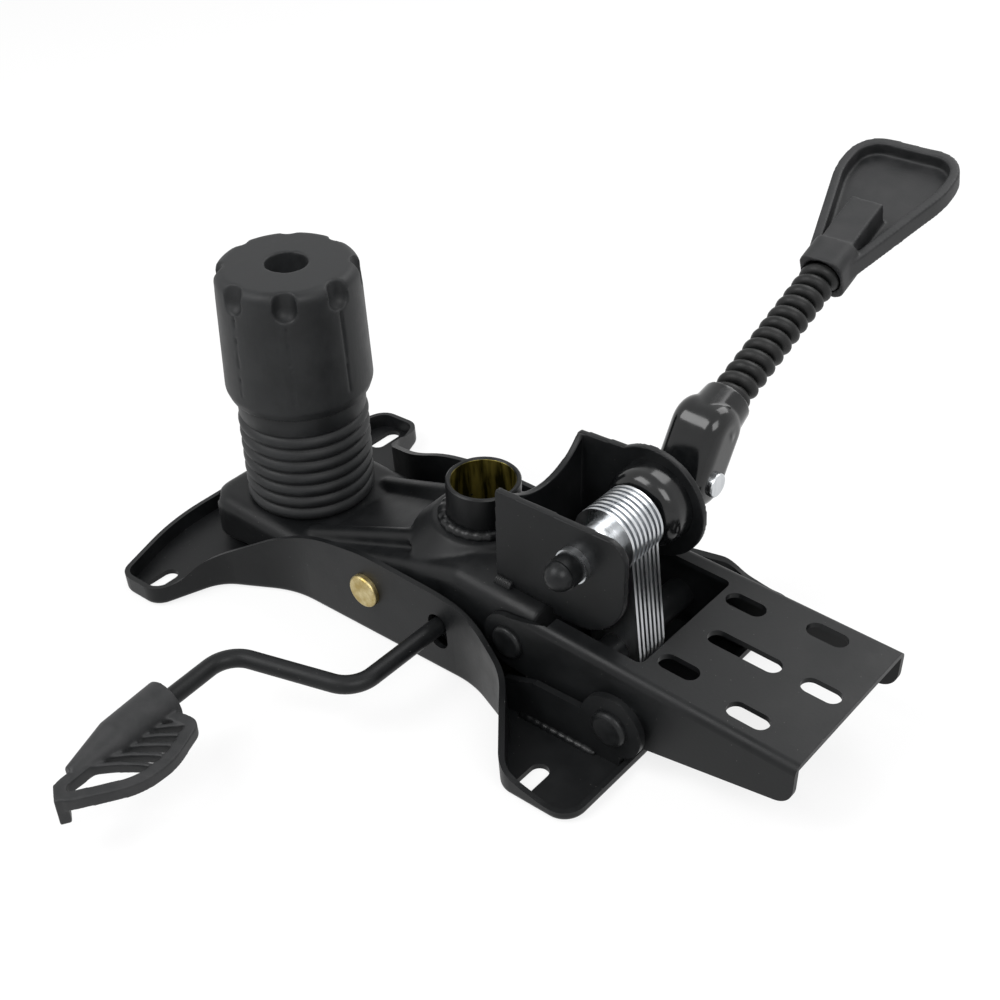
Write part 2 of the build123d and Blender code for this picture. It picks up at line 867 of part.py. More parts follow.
# Lock bracket on the rear of the box: two cheeks joined by a web
cheek_inner = bracket_half - bracket_sheet
with BuildPart() as lock_bracket:
    with BuildSketch(box_side(-cheek_inner)) as near_cheek:
        with BuildLine():
            Polyline(
                (bracket_front_x, box_top_z),
                (bracket_front_x, bracket_top_z),
                (bracket_rear_x, bracket_rear_top_z),
                (bracket_rear_x, bracket_low_z),
                (bracket_low_x, bracket_low_z),
                (bracket_low_x, box_top_z),
                close=True,
            )
        make_face()
        fillet(near_cheek.vertices().group_by(Axis.X)[-1].sort_by(Axis.Y)[-1], radius=cheek_top_r)
        fillet(near_cheek.vertices().group_by(Axis.Y)[0].sort_by(Axis.X)[-1], radius=cheek_low_r)
    extrude(amount=bracket_sheet)
    with BuildSketch(box_side(bracket_half)):
        with BuildLine():
            Polyline(
                (bracket_front_x, box_top_z),
                (bracket_front_x, bracket_top_z),
                (far_cheek_x, far_cheek_top_z),
                (far_cheek_x, far_cheek_z - boss_r),
                (bracket_low_x, box_top_z),
                close=True,
            )
        make_face()
        with Locations((far_cheek_x, far_cheek_z)):
            Circle(boss_r)
    extrude(amount=bracket_sheet)
    with BuildSketch(box_cross(bracket_front_x)):
        with BuildLine():
            ThreePointArc((-cheek_inner, bracket_top_z), (0, web_dip_z), (cheek_inner, bracket_top_z))
            Polyline(
                (cheek_inner, bracket_top_z),
                (bracket_half, bracket_top_z),
                (bracket_half, box_top_z),
                (-bracket_half, box_top_z),
                (-bracket_half, bracket_top_z),
                (-cheek_inner, bracket_top_z),
            )
        make_face()
    extrude(amount=bracket_sheet)
    with BuildSketch(box_side(0)):
        with Locations((shaft_x, shaft_z)):
            Circle(shaft_r + running_gap)
    extrude(amount=bracket_half + overrun, both=True, mode=Mode.SUBTRACT)
save(lock_bracket, "lock_bracket")

with BuildPart() as bracket_welds:
    with BuildSketch(box_cross(bracket_weld_front_x)):
        for side in (-1, 1):
            with Locations((side * bracket_half, box_top_z)):
                Circle(bracket_weld_r)
        with Locations((0, box_top_z - bracket_weld_r)):
            Rectangle(4 * bracket_half, 2 * bracket_weld_r, mode=Mode.SUBTRACT)
        with Locations((0, box_top_z)):
            Rectangle(2 * bracket_half, 4 * bracket_weld_r, mode=Mode.SUBTRACT)
    extrude(amount=bracket_weld_rear_x - bracket_weld_front_x)
save(bracket_welds, "bracket_welds")

# Lock shaft with its eye, the nut and washer on its near end
with BuildPart() as lock_shaft:
    with BuildSketch(box_side(cam_y)):
        with Locations((shaft_x, shaft_z)):
            Circle(shaft_r)
    extrude(amount=cam_y - shaft_end_y)
    with BuildSketch(box_cross(shaft_x - fork_half)):
        with Locations((cam_y, shaft_z)):
            Circle(shaft_eye_r)
    extrude(amount=2 * fork_half)
    with BuildSketch(box_cross(shaft_x - fork_half)):
        with Locations((cam_y, shaft_z)):
            Circle(cam_pin_r + running_gap)
    extrude(amount=2 * fork_half, mode=Mode.SUBTRACT)
save(lock_shaft, "lock_shaft")

with BuildPart() as nut_washer:
    with BuildSketch(box_side(-bracket_half)):
        with Locations((shaft_x, shaft_z)):
            Circle(washer_r)
            Circle(shaft_r + running_gap, mode=Mode.SUBTRACT)
    extrude(amount=washer_t)
save(nut_washer, "nut_washer")

nut_y = -bracket_half - washer_t
with BuildPart() as dome_nut:
    with BuildSketch(box_side(nut_y)):
        with Locations((shaft_x, shaft_z)):
            Circle(cap_nut_r)
    extrude(amount=cap_nut_h)
    with Locations(box_point(shaft_x, nut_y - cap_nut_h, shaft_z)):
        Sphere(cap_dome_r)
    with BuildSketch(box_side(nut_y)):
        with Locations((shaft_x, shaft_z)):
            Circle(shaft_r + running_gap)
    extrude(amount=nut_y - shaft_end_y + side_gap, mode=Mode.SUBTRACT)
save(dome_nut, "dome_nut")

# Stack on the shaft: spacers, fixed discs and, between them, the strips
plate_pitch = lamella_t + lamella_gap
stack_half = ((moving_count + fixed_count) * plate_pitch - lamella_gap) / 2
with BuildPart() as near_spacer:
    with BuildSketch(box_side(-stack_half)):
        with Locations((shaft_x, shaft_z)):
            Circle(spacer_r)
            Circle(shaft_r + running_gap, mode=Mode.SUBTRACT)
    extrude(amount=cheek_inner - stack_half)
save(near_spacer, "near_spacer")

# Bell shaped spacer between the stack and the far cheek
shaft_line = Axis(shaft_rest, (0, 1, 0))
with BuildPart() as far_spacer:
    with BuildSketch(box_level(shaft_z, shaft_x)):
        with BuildLine():
            FilletPolyline(
                (shaft_r + running_gap, stack_half),
                (bell_neck_r, stack_half),
                (bell_neck_r, stack_half + bell_neck_l),
                (bell_top_r, stack_half + bell_neck_l),
                (bell_base_r, cheek_inner),
                (shaft_r + running_gap, cheek_inner),
                radius=[0, 0, bell_shoulder_r, 0],
            )
            Line((shaft_r + running_gap, cheek_inner), (shaft_r + running_gap, stack_half))
        make_face()
    revolve(axis=shaft_line)
save(far_spacer, "far_spacer")

with BuildPart() as fixed_discs:
    for plate in range(fixed_count):
        with BuildSketch(box_side(stack_half - 2 * plate * plate_pitch)):
            with Locations((shaft_x, shaft_z)):
                Circle(disc_r)
                Circle(shaft_r + running_gap, mode=Mode.SUBTRACT)
        extrude(amount=lamella_t)
save(fixed_discs, "fixed_discs")

with BuildPart() as cam_bush:
    with BuildSketch(box_side(cam_bush_end_y)):
        with Locations((shaft_x, shaft_z)):
            Circle(cam_bush_r)
            Circle(shaft_r + running_gap, mode=Mode.SUBTRACT)
    extrude(amount=cam_bush_end_y - bracket_half)
save(cam_bush, "cam_bush")

# Lock strips, hung from their pin in the channel and slotted for the shaft
strip_up = (shaft_rest - strip_pin_rest).normalized()
strip_slot_w = 2 * (shaft_r + strip_slot_gap) + shaft_path_x[-1] - shaft_path_x[0]
strip_slot_l = strip_slot_w + shaft_path_z[-1] - shaft_path_z[0]
strip_slot_x = (shaft_path_x[0] + shaft_path_x[-1]) / 2
strip_slot_z = (shaft_path_z[0] + shaft_path_z[-1]) / 2
with BuildPart() as lock_strips:
    for plate in range(moving_count):
        face_y = stack_half - (2 * plate + 1) * plate_pitch
        strip_side = Plane(
            origin=strip_pin_rest + Vector(0, face_y, 0),
            x_dir=strip_up.cross(Vector(0, -1, 0)),
            z_dir=(0, -1, 0),
        )
        with BuildSketch(strip_side):
            with Locations((0, shaft_path_z[-1] / 2)):
                SlotOverall(shaft_path_z[-1] + 2 * strip_half, 2 * strip_half, rotation=90)
            with Locations((strip_slot_x, strip_slot_z)):
                SlotOverall(strip_slot_l, strip_slot_w, rotation=90, mode=Mode.SUBTRACT)
            Circle(strip_pin_r + running_gap, mode=Mode.SUBTRACT)
        extrude(amount=lamella_t)
save(lock_strips, "lock_strips")

# Back channel: web with folded flanges
with BuildPart() as back_channel:
    with BuildSketch(box_side(0)) as flange:
        with BuildLine():
            Polyline(
                (channel_rear_x, channel_top_z),
                (channel_rear_x, channel_rear_low_z),
                (channel_front_low_x, channel_front_low_z),
                (link_x, link_z - channel_nose_r),
                (link_x, link_z + channel_nose_r),
                (channel_web_front_x, channel_top_z),
                close=True,
            )
        make_face()
        fillet(flange.vertices().sort_by(Axis.Y)[0], radius=channel_low_corner_r)
        rear_low = flange.vertices().group_by(Axis.X)[-1].sort_by(Axis.Y)[0]
        fillet(rear_low, radius=channel_rear_corner_r)
        with Locations((link_x, link_z)):
            Circle(channel_nose_r)
    extrude(amount=channel_half, both=True)
    top_face = back_channel.faces().filter_by(box_level(channel_top_z)).sort_by(Axis.Z)[-1]
    long_edges = top_face.edges().filter_by(Axis(box_point(0, 0, 0), box_frame.x_dir))
    fillet(long_edges, radius=channel_bend_r)
    inside_h = channel_top_z - channel_front_low_z
    with BuildSketch(box_level(channel_top_z - channel_sheet)):
        with Locations(((link_x - channel_nose_r + channel_rear_x) / 2, 0)):
            Rectangle(
                channel_rear_x - link_x + channel_nose_r + 2 * overrun,
                2 * channel_inner,
            )
    extrude(amount=-inside_h, mode=Mode.SUBTRACT)
    with BuildSketch(box_level(channel_top_z)) as openings:
        with Locations(((cutout_rear_x + link_x) / 2, 0)):
            Rectangle(cutout_rear_x - link_x, 2 * cutout_half)
        fillet(openings.vertices().group_by(Axis.X)[-1], radius=cutout_corner_r)
        with Locations((front_pair_x, front_pair_half), (front_pair_x, -front_pair_half)):
            SlotOverall(web_slot_l, web_slot_w)
        with Locations((rear_pair_x, rear_pair_half), (rear_pair_x, -rear_pair_half)):
            SlotOverall(web_slot_l, web_slot_w)
        with Locations((long_slot_x, 0)):
            SlotOverall(long_slot_l, web_slot_w)
        with Locations((tail_slot_x, 0)):
            SlotOverall(tail_slot_l, web_slot_w)
    extrude(amount=-2 * channel_sheet, mode=Mode.SUBTRACT)
    with BuildSketch(box_level(channel_top_z)):
        with Locations(((channel_web_front_x + link_x - channel_nose_r) / 2, 0)):
            Rectangle(channel_web_front_x - link_x + channel_nose_r, 2 * channel_inner)
    extrude(amount=-inside_h, mode=Mode.SUBTRACT)
    with BuildSketch(seat_side(0)):
        with Locations((ear_pin_x, ear_pin_z)):
            Circle(ear_pin_r + running_gap)
    extrude(amount=channel_half + overrun, both=True, mode=Mode.SUBTRACT)
    with BuildSketch(box_side(0)):
        with Locations((link_x, link_z)):
            Circle(link_pin_r)
        with Locations((strip_pin_x, strip_pin_z)):
            Circle(strip_pin_r)
    extrude(amount=channel_half + overrun, both=True, mode=Mode.SUBTRACT)
save(back_channel, "back_channel")

# Washers between the channel and the ears
with BuildPart() as ear_washers:
    for side in (-1, 1):
        with BuildSketch(seat_side(side * ear_inner)):
            with Locations((ear_pin_x, ear_pin_z)):
                Circle(ear_washer_r)
                Circle(ear_pin_r, mode=Mode.SUBTRACT)
        extrude(amount=side * (ear_inner - channel_half - running_gap))
save(ear_washers, "ear_washers")

# Rivets that join the channel to the box, loose in the box
with BuildPart() as link_rivets:
    for side in (-1, 1):
        with BuildSketch(box_side(side * channel_half)):
            with Locations((link_x, link_z)):
                Circle(link_head_r)
        extrude(amount=-side * link_head_t)
        with BuildSketch(box_side(side * channel_half)):
            with Locations((link_x, link_z)):
                Circle(link_pin_r)
        extrude(amount=side * (channel_half - box_half + box_sheet + side_gap))
        with BuildSketch(box_side(side * (box_half - box_sheet - side_gap))):
            with Locations((link_x, link_z)):
                Circle(link_inner_head_r)
        extrude(amount=side * link_head_t)
    link_ends = link_rivets.faces().filter_by(Axis.Y).sort_by(Axis.Y)
    fillet(link_ends[0].edges() + link_ends[-1].edges(), radius=link_head_t * 2 / 3)
save(link_rivets, "link_rivets")

# Pin of the lock strips across the channel, with its spacers and washers
with BuildPart() as strip_pin:
    cross_pin(strip_pin_rest, 2 * channel_half, strip_pin_r)
save(strip_pin, "strip_pin")

with BuildPart() as strip_spacers:
    strip_edge = stack_half - plate_pitch
    for side in (-1, 1):
        with BuildSketch(box_side(side * (strip_edge + lamella_gap))):
            with Locations((strip_pin_x, strip_pin_z)):
                Circle(strip_spacer_r)
                Circle(strip_pin_r, mode=Mode.SUBTRACT)
        extrude(amount=-side * (channel_inner - strip_edge - lamella_gap))
save(strip_spacers, "strip_spacers")

with BuildPart() as strip_washers:
    for plate in range(moving_count - 1):
        with BuildSketch(box_side(stack_half - 2 * (plate + 1) * plate_pitch)):
            with Locations((strip_pin_x, strip_pin_z)):
                Circle(strip_spacer_r)
                Circle(strip_pin_r, mode=Mode.SUBTRACT)
        extrude(amount=lamella_t)
save(strip_washers, "strip_washers")

# Tension bolt: its head rocks in an anchor bridge on the seat plate
with BuildPart() as tension_bolt:
    with BuildSketch(box_level(bolt_low_z, bolt_x)):
        Circle(bolt_head_r)
    extrude(amount=bolt_head_t)
    with BuildSketch(box_level(bolt_low_z, bolt_x)):
        Circle(bolt_r)
    extrude(amount=bolt_top_z - bolt_low_z)
    bolt_end = tension_bolt.edges().filter_by(GeomType.CIRCLE).sort_by(Axis.Z)[-1]
    chamfer(bolt_end, length=bolt_r / 5)
save(tension_bolt, "tension_bolt")

anchor_low_z = seat_sheet + anchor_h
anchor_high_z = anchor_low_z + anchor_sheet
bolt_places = [bolt_at_height(tilt, z) for tilt in tilts for z in (anchor_low_z, anchor_high_z)]
bolt_front_x = min(bolt_places)
bolt_back_x = max(bolt_places)
anchor_x = (bolt_front_x + bolt_back_x) / 2
with BuildPart() as bolt_anchor:
    with BuildSketch(Plane.XY.offset(seat_sheet)):
        with Locations((anchor_x, 0)):
            Rectangle(anchor_l, 2 * anchor_half)
    extrude(amount=anchor_h + anchor_sheet)
    with BuildSketch(Plane.XY.offset(seat_sheet)):
        with Locations((anchor_x, 0)):
            Rectangle(anchor_l, 2 * (anchor_half - anchor_sheet))
    extrude(amount=anchor_h, mode=Mode.SUBTRACT)
    with BuildSketch(Plane.XY.offset(anchor_low_z)):
        with Locations((anchor_x, 0)):
            SlotOverall(
                bolt_back_x - bolt_front_x + 2 * (bolt_r + bolt_gap),
                2 * (bolt_r + bolt_gap),
            )
    extrude(amount=anchor_sheet, mode=Mode.SUBTRACT)
    bends = bolt_anchor.edges().filter_by(Axis.X).group_by(Axis.Z)[-1]
    fillet(bends, radius=anchor_sheet * 2 / 3)
save(bolt_anchor, "bolt_anchor")

# Spring cup, spring and cap round the bolt
cup_top_z = box_front_top_z + seat_cup_t
with BuildPart() as spring_cup:
    with BuildSketch(box_level(box_front_top_z, bolt_x)):
        Circle(seat_cup_r)
        Circle(bolt_hole_r, mode=Mode.SUBTRACT)
    extrude(amount=seat_cup_t)
save(spring_cup, "spring_cup")

spring_stub = 2 * spring_wire_r
spring_l = spring_cap_z - cup_top_z
spring_pitch = (spring_l - 2 * (spring_stub + spring_bend)) / spring_turns
with BuildPart() as tension_spring:
    with BuildLine() as spring_line:
        coil_wire(
            box_level(cup_top_z, bolt_x),
            spring_r,
            spring_pitch,
            spring_turns,
            spring_stub,
            spring_bend,
        )
    spring_path = spring_line.wire()
    with BuildSketch(Plane(origin=spring_path @ 0, z_dir=spring_path % 0)):
        Circle(spring_wire_r)
    sweep(path=spring_path)
save(tension_spring, "tension_spring")
print("spring gap", least_gap(spring_line.edges(), spring_wire_r, 2 * pi * spring_r))

with BuildPart() as spring_cap:
    with BuildSketch(box_level(spring_cap_z, bolt_x)):
        Circle(spring_cap_r)
        Circle(bolt_r + bolt_gap, mode=Mode.SUBTRACT)
    extrude(amount=spring_cap_t)
save(spring_cap, "spring_cap")

# Ribbed plastic sleeve round the spring, with a plain collar at its top
with BuildPart() as ribbed_sleeve:
    for rib in range(sleeve_ribs):
        rib_low_z = box_front_top_z + rib * sleeve_rib_pitch
        for share, ring_r in zip(
            sleeve_rib_shares, (sleeve_valley_r, sleeve_r, sleeve_r, sleeve_valley_r)
        ):
            with BuildSketch(box_level(rib_low_z + share * sleeve_rib_pitch, bolt_x)):
                Circle(ring_r)
    collar_z = box_front_top_z + sleeve_ribs * sleeve_rib_pitch
    with BuildSketch(box_level(collar_z, bolt_x)):
        Circle(sleeve_collar_r)
    with BuildSketch(box_level(sleeve_top_z, bolt_x)):
        Circle(sleeve_collar_r)
    loft(ruled=True)
    with BuildSketch(box_level(box_front_top_z, bolt_x)):
        Circle(sleeve_bore_r)
    extrude(amount=sleeve_top_z - box_front_top_z, mode=Mode.SUBTRACT)
save(ribbed_sleeve, "ribbed_sleeve")

# Knob: fluted shell with a hub that holds its nut
knob_axis = Axis(box_point(bolt_x, 0, 0), box_frame.z_dir)
hub_low_z = spring_cap_z + spring_cap_t
nut_top_z = knob_top_z - knob_eye_depth
with BuildPart() as knob:
    with BuildSketch(box_side(0)):
        with BuildLine():
            Polyline(
                (bolt_x + knob_low_r - knob_wall, knob_low_z),
                (bolt_x + knob_low_r - knob_chamfer_in, knob_low_z),
                (bolt_x + knob_low_r, knob_low_z + knob_chamfer),
                (bolt_x + knob_top_r, knob_top_z),
                (bolt_x + knob_eye_r, knob_top_z),
                (bolt_x + knob_eye_r, nut_top_z),
                (bolt_x + bolt_r + bolt_gap, nut_top_z),
                (bolt_x + bolt_r + bolt_gap, hub_low_z),
                (bolt_x + knob_hub_r, hub_low_z),
                (bolt_x + knob_hub_r, knob_top_z - knob_roof),
                (bolt_x + knob_core_r, knob_top_z - knob_roof),
                (bolt_x + knob_core_r, knob_core_z),
                (bolt_x + knob_low_r - knob_wall, knob_core_z),
                close=True,
            )
        make_face()
    revolve(axis=knob_axis)
    brim = knob.edges().filter_by(GeomType.CIRCLE).group_by(Axis.Z)[-1].sort_by(SortBy.RADIUS)[-1]
    fillet(brim, radius=knob_shoulder_r)
    flute_low_z = knob_top_z - knob_grip_h + knob_grip_r
    flute_out = knob_top_r + knob_grip_r - knob_grip_depth
    for flute in range(knob_grips):
        turn = 2 * pi * flute / knob_grips
        flute_x = bolt_x + flute_out * cos(turn)
        flute_y = flute_out * sin(turn)
        with BuildSketch(box_level(flute_low_z, flute_x, flute_y)):
            Circle(knob_grip_r)
        extrude(amount=knob_grip_h, mode=Mode.SUBTRACT)
        with Locations(box_point(flute_x, flute_y, flute_low_z)):
            Sphere(knob_grip_r, mode=Mode.SUBTRACT)
        across = box_frame.x_dir * cos(turn) + Vector(0, sin(turn), 0)
        radial = Plane(
            origin=box_point(bolt_x, 0, 0), x_dir=across, z_dir=across.cross(box_frame.z_dir)
        )
        with BuildSketch(radial):
            with BuildLine():
                Polyline(
                    (knob_low_r - knob_groove_depth, knob_low_z + knob_groove_low),
                    (knob_low_r + overrun, knob_low_z + knob_groove_low),
                    (knob_top_r + overrun, knob_top_z - knob_grip_h),
                    (knob_top_r - knob_groove_depth, knob_top_z - knob_grip_h),
                    close=True,
                )
            make_face()
        extrude(amount=knob_groove_w / 2, both=True, mode=Mode.SUBTRACT)
    with BuildSketch(box_level(nut_top_z, bolt_x)):
        RegularPolygon(knob_nut_half, side_count=6, major_radius=False)
    extrude(amount=-knob_nut_h, mode=Mode.SUBTRACT)
save(knob, "knob")

with BuildPart() as knob_nut:
    with BuildSketch(box_level(nut_top_z, bolt_x)):
        RegularPolygon(knob_nut_half, side_count=6, major_radius=False)
        Circle(bolt_r + running_gap, mode=Mode.SUBTRACT)
    extrude(amount=-knob_nut_h)
save(knob_nut, "knob_nut")

# Gas lever: bent rod in a bush, with a tongue under the gas spring's button
with BuildPart() as gas_rod:
    with BuildLine(box_level(rod_z)) as rod_line:
        FilletPolyline(
            (rod_x, rod_inner_y),
            (rod_x, rod_first_y),
            (rod_crank_x, rod_crank_y),
            (rod_end_x, rod_end_y),
            radius=rod_bend_r,
        )
    rod_path = rod_line.wire()
    with BuildSketch(Plane(origin=rod_path @ 0, z_dir=rod_path % 0)):
        Circle(rod_r)
    sweep(path=rod_path)
save(gas_rod, "gas_rod")

with BuildPart() as valve_tongue:
    with BuildSketch(box_level(rod_z - tongue_t / 2)):
        with Locations(((tongue_tip_x + rod_x) / 2, 0)):
            Rectangle(rod_x - tongue_tip_x, 2 * tongue_half)
    extrude(amount=tongue_t)
    with BuildSketch(box_side(rod_inner_y)):
        with Locations((rod_x, rod_z)):
            Circle(rod_r)
    extrude(amount=2 * tongue_half + overrun, mode=Mode.SUBTRACT)
save(valve_tongue, "valve_tongue")

with BuildPart() as lever_bush:
    with BuildSketch(box_side(-well_half)):
        with Locations((rod_x, rod_z)):
            Circle(lever_bush_r)
    extrude(amount=box_sheet)
    with BuildSketch(box_side(-box_half)):
        with Locations((rod_x, rod_z)):
            Circle(lever_bush_flange_r)
    extrude(amount=lever_bush_flange_t)
    with BuildSketch(box_side(-well_half)):
        with Locations((rod_x, rod_z)):
            Circle(rod_r + lever_bush_gap)
    extrude(amount=box_sheet + lever_bush_flange_t, mode=Mode.SUBTRACT)
save(lever_bush, "lever_bush")

# Moulded grip of the gas lever: sleeve on the rod and a ribbed leaf beside it
grip_share = (rod_grip_y - rod_crank_y) / (rod_end_y - rod_crank_y)
grip_x = rod_crank_x + grip_share * (rod_end_x - rod_crank_x)
grip_start = box_point(grip_x, rod_grip_y, rod_z)
grip_along = (box_point(rod_end_x, rod_end_y, rod_z) - grip_start).normalized()
grip_out = box_frame.z_dir.cross(grip_along)
grip_plane = Plane(origin=grip_start, x_dir=grip_out, z_dir=grip_out.cross(grip_along))
bore_l = (box_point(rod_end_x, rod_end_y, rod_z) - grip_start).length
with BuildPart() as gas_grip:
    with BuildSketch(grip_plane.offset(-paddle_rim_h / 2)) as leaf:
        with BuildLine():
            FilletPolyline(
                (0, paddle_start_l),
                (paddle_turn_x, paddle_turn_l),
                (paddle_near_x, paddle_near_l),
                (paddle_wide_x, paddle_wide_l),
                (paddle_far_x, paddle_far_l),
                (paddle_fall_x, paddle_fall_l),
                (paddle_tip_x, paddle_tip_l),
                (0, paddle_back_l),
                (0, grip_mid_l),
                radius=[
                    0,
                    paddle_corner_r,
                    paddle_side_r,
                    paddle_side_r,
                    paddle_fall_r,
                    paddle_tip_r,
                    paddle_tip_r,
                ],
            )
            Line((0, grip_mid_l), (0, paddle_start_l))
        make_face()
        offset(amount=-paddle_rim, mode=Mode.SUBTRACT)
    extrude(amount=paddle_rim_h)
    with BuildSketch(grip_plane.offset(-paddle_rib_h / 2)):
        for bar in range(paddle_ribs):
            foot = Vector(paddle_rib_foot_x, paddle_rib_foot_l + bar * paddle_rib_foot_step)
            head = Vector(
                paddle_rib_head_x + bar * paddle_rib_head_step_x,
                paddle_rib_head_l + bar * paddle_rib_head_step,
            )
            bow = (head - foot).rotate(Axis.Z, -90).normalized() * paddle_rib_bow
            breadth = bow.normalized() * paddle_rib_w
            with BuildLine():
                low_arc = ThreePointArc(foot, (foot + head) / 2 + bow, head)
                high_arc = ThreePointArc(
                    foot + breadth, (foot + head) / 2 + bow + breadth, head + breadth
                )
                Line(low_arc @ 0, high_arc @ 0)
                Line(low_arc @ 1, high_arc @ 1)
            make_face()
    extrude(amount=paddle_rib_h)
    with BuildSketch(grip_plane.offset(-paddle_rim_h / 2)):
        with Locations(Location((tail_tab_x, tail_tab_l), tail_tab_turn)):
            Rectangle(tail_tab_w, tail_tab_t)
    extrude(amount=paddle_rim_h + tail_tab_drop)
    grip_end = Plane(origin=grip_start, x_dir=grip_out, z_dir=grip_along)
    with BuildSketch(grip_end):
        Circle(grip_r)
    with BuildSketch(grip_end.offset(grip_mid_l)):
        Circle(grip_mid_r)
    loft()
    with BuildSketch(grip_end.offset(grip_mid_l)):
        Circle(grip_mid_r)
    with BuildSketch(grip_end.offset(grip_l)):
        Circle(grip_tip_r)
    loft()
    with BuildSketch(grip_end):
        Circle(rod_r)
    extrude(amount=bore_l, mode=Mode.SUBTRACT)
save(gas_grip, "gas_grip")

# Lock lever: socket on the cam pin, flexible coil and paddle along one arm
rise = radians(arm_rise)
yaw = radians(arm_yaw)
arm_up = Vector(0, -sin(rise), cos(rise))
arm_flat = Vector(0, cos(rise), sin(rise))
arm_start = box_point(shaft_x, arm_y, arm_z)


def box_way(x: float, y: float, z: float) -> Vector:
    """Direction given in the box frame, in the frame of the part."""
    return box_point(x, y, z) - box_point(0, 0, 0)


arm_plane = Plane(
    origin=arm_start,
    x_dir=box_way(cos(yaw), sin(yaw) * arm_flat.Y, sin(yaw) * arm_flat.Z),
    z_dir=box_way(arm_up.X, arm_up.Y, arm_up.Z),
)


def arm_level(along: float) -> Plane:
    """Plane square to the arm, at a distance along it."""
    return Plane(
        origin=arm_start + arm_plane.y_dir * along,
        x_dir=arm_plane.x_dir,
        z_dir=arm_plane.y_dir,
    )


coil_stub = 2 * coil_wire_r
cup_depth = coil_stub + coil_bend
coil_l = coil_turns * coil_pitch
cup_bore_r = coil_r + coil_wire_r + cup_bore_gap
with BuildPart() as lever_socket:
    cup_base = in_box(arm_start - arm_plane.y_dir * cup_depth)
    with BuildSketch(box_cross(shaft_x - socket_half)):
        with Locations((cam_y, shaft_z)):
            Circle(socket_eye_r)
        with Locations((cup_base.Y, cup_base.Z)):
            Circle(socket_half)
        make_hull()
    extrude(amount=2 * socket_half)
    flanks = lever_socket.faces().filter_by(Axis(box_point(0, 0, 0), box_frame.x_dir))
    fillet(flanks.edges(), radius=socket_round_r)
    with BuildSketch(arm_level(-cup_depth)):
        Circle(socket_half)
    with BuildSketch(arm_level(cup_lip)):
        Circle(socket_cup_r)
    loft()
    with BuildSketch(arm_level(-cup_depth)):
        Circle(cup_bore_r)
    extrude(amount=cup_depth + cup_lip, mode=Mode.SUBTRACT)
    fork_reach = shaft_eye_r + fork_gap
    with BuildSketch(box_cross(shaft_x - fork_half - fork_gap)):
        with BuildLine():
            Polyline(
                (cam_y + fork_reach, shaft_z + fork_reach),
                (cam_y + fork_reach, shaft_z - socket_eye_r - overrun),
                (cam_y - socket_eye_r - overrun, shaft_z - socket_eye_r - overrun),
                (cam_y - socket_eye_r - overrun, shaft_z + fork_reach),
                close=True,
            )
        make_face()
    extrude(amount=2 * (fork_half + fork_gap), mode=Mode.SUBTRACT)
    with BuildSketch(box_cross(shaft_x - socket_half)):
        with Locations((cam_y, shaft_z)):
            Circle(cam_pin_r)
    extrude(amount=2 * socket_half, mode=Mode.SUBTRACT)
save(lever_socket, "lever_socket")

with BuildPart() as cam_pin:
    with BuildSketch(box_cross(shaft_x - socket_half - cam_pin_head_t)):
        with Locations((cam_y, shaft_z)):
            Circle(cam_pin_head_r)
    extrude(amount=cam_pin_head_t)
    with BuildSketch(box_cross(shaft_x - socket_half)):
        with Locations((cam_y, shaft_z)):
            Circle(cam_pin_r)
    extrude(amount=2 * socket_half)
    with BuildSketch(box_cross(shaft_x + socket_half)):
        with Locations((cam_y, shaft_z)):
            Circle(cam_pin_head_r)
    extrude(amount=cam_pin_head_t)
    pin_ends = cam_pin.faces().filter_by(Axis(box_point(0, 0, 0), box_frame.x_dir))
    outer_ends = pin_ends.sort_by(Axis.X)
    fillet(outer_ends[0].edges() + outer_ends[-1].edges(), radius=cam_pin_head_t / 2)
save(cam_pin, "cam_pin")

with BuildPart() as lever_coil:
    with BuildLine() as coil_line:
        coil_wire(arm_level(-cup_depth), coil_r, coil_pitch, coil_turns, coil_stub, coil_bend)
    coil_path = coil_line.wire()
    with BuildSketch(Plane(origin=coil_path @ 0, z_dir=coil_path % 0)):
        Circle(coil_wire_r)
    sweep(path=coil_path)
save(lever_coil, "lever_coil")
print("coil gap", least_gap(coil_line.edges(), coil_wire_r, 2 * pi * coil_r))

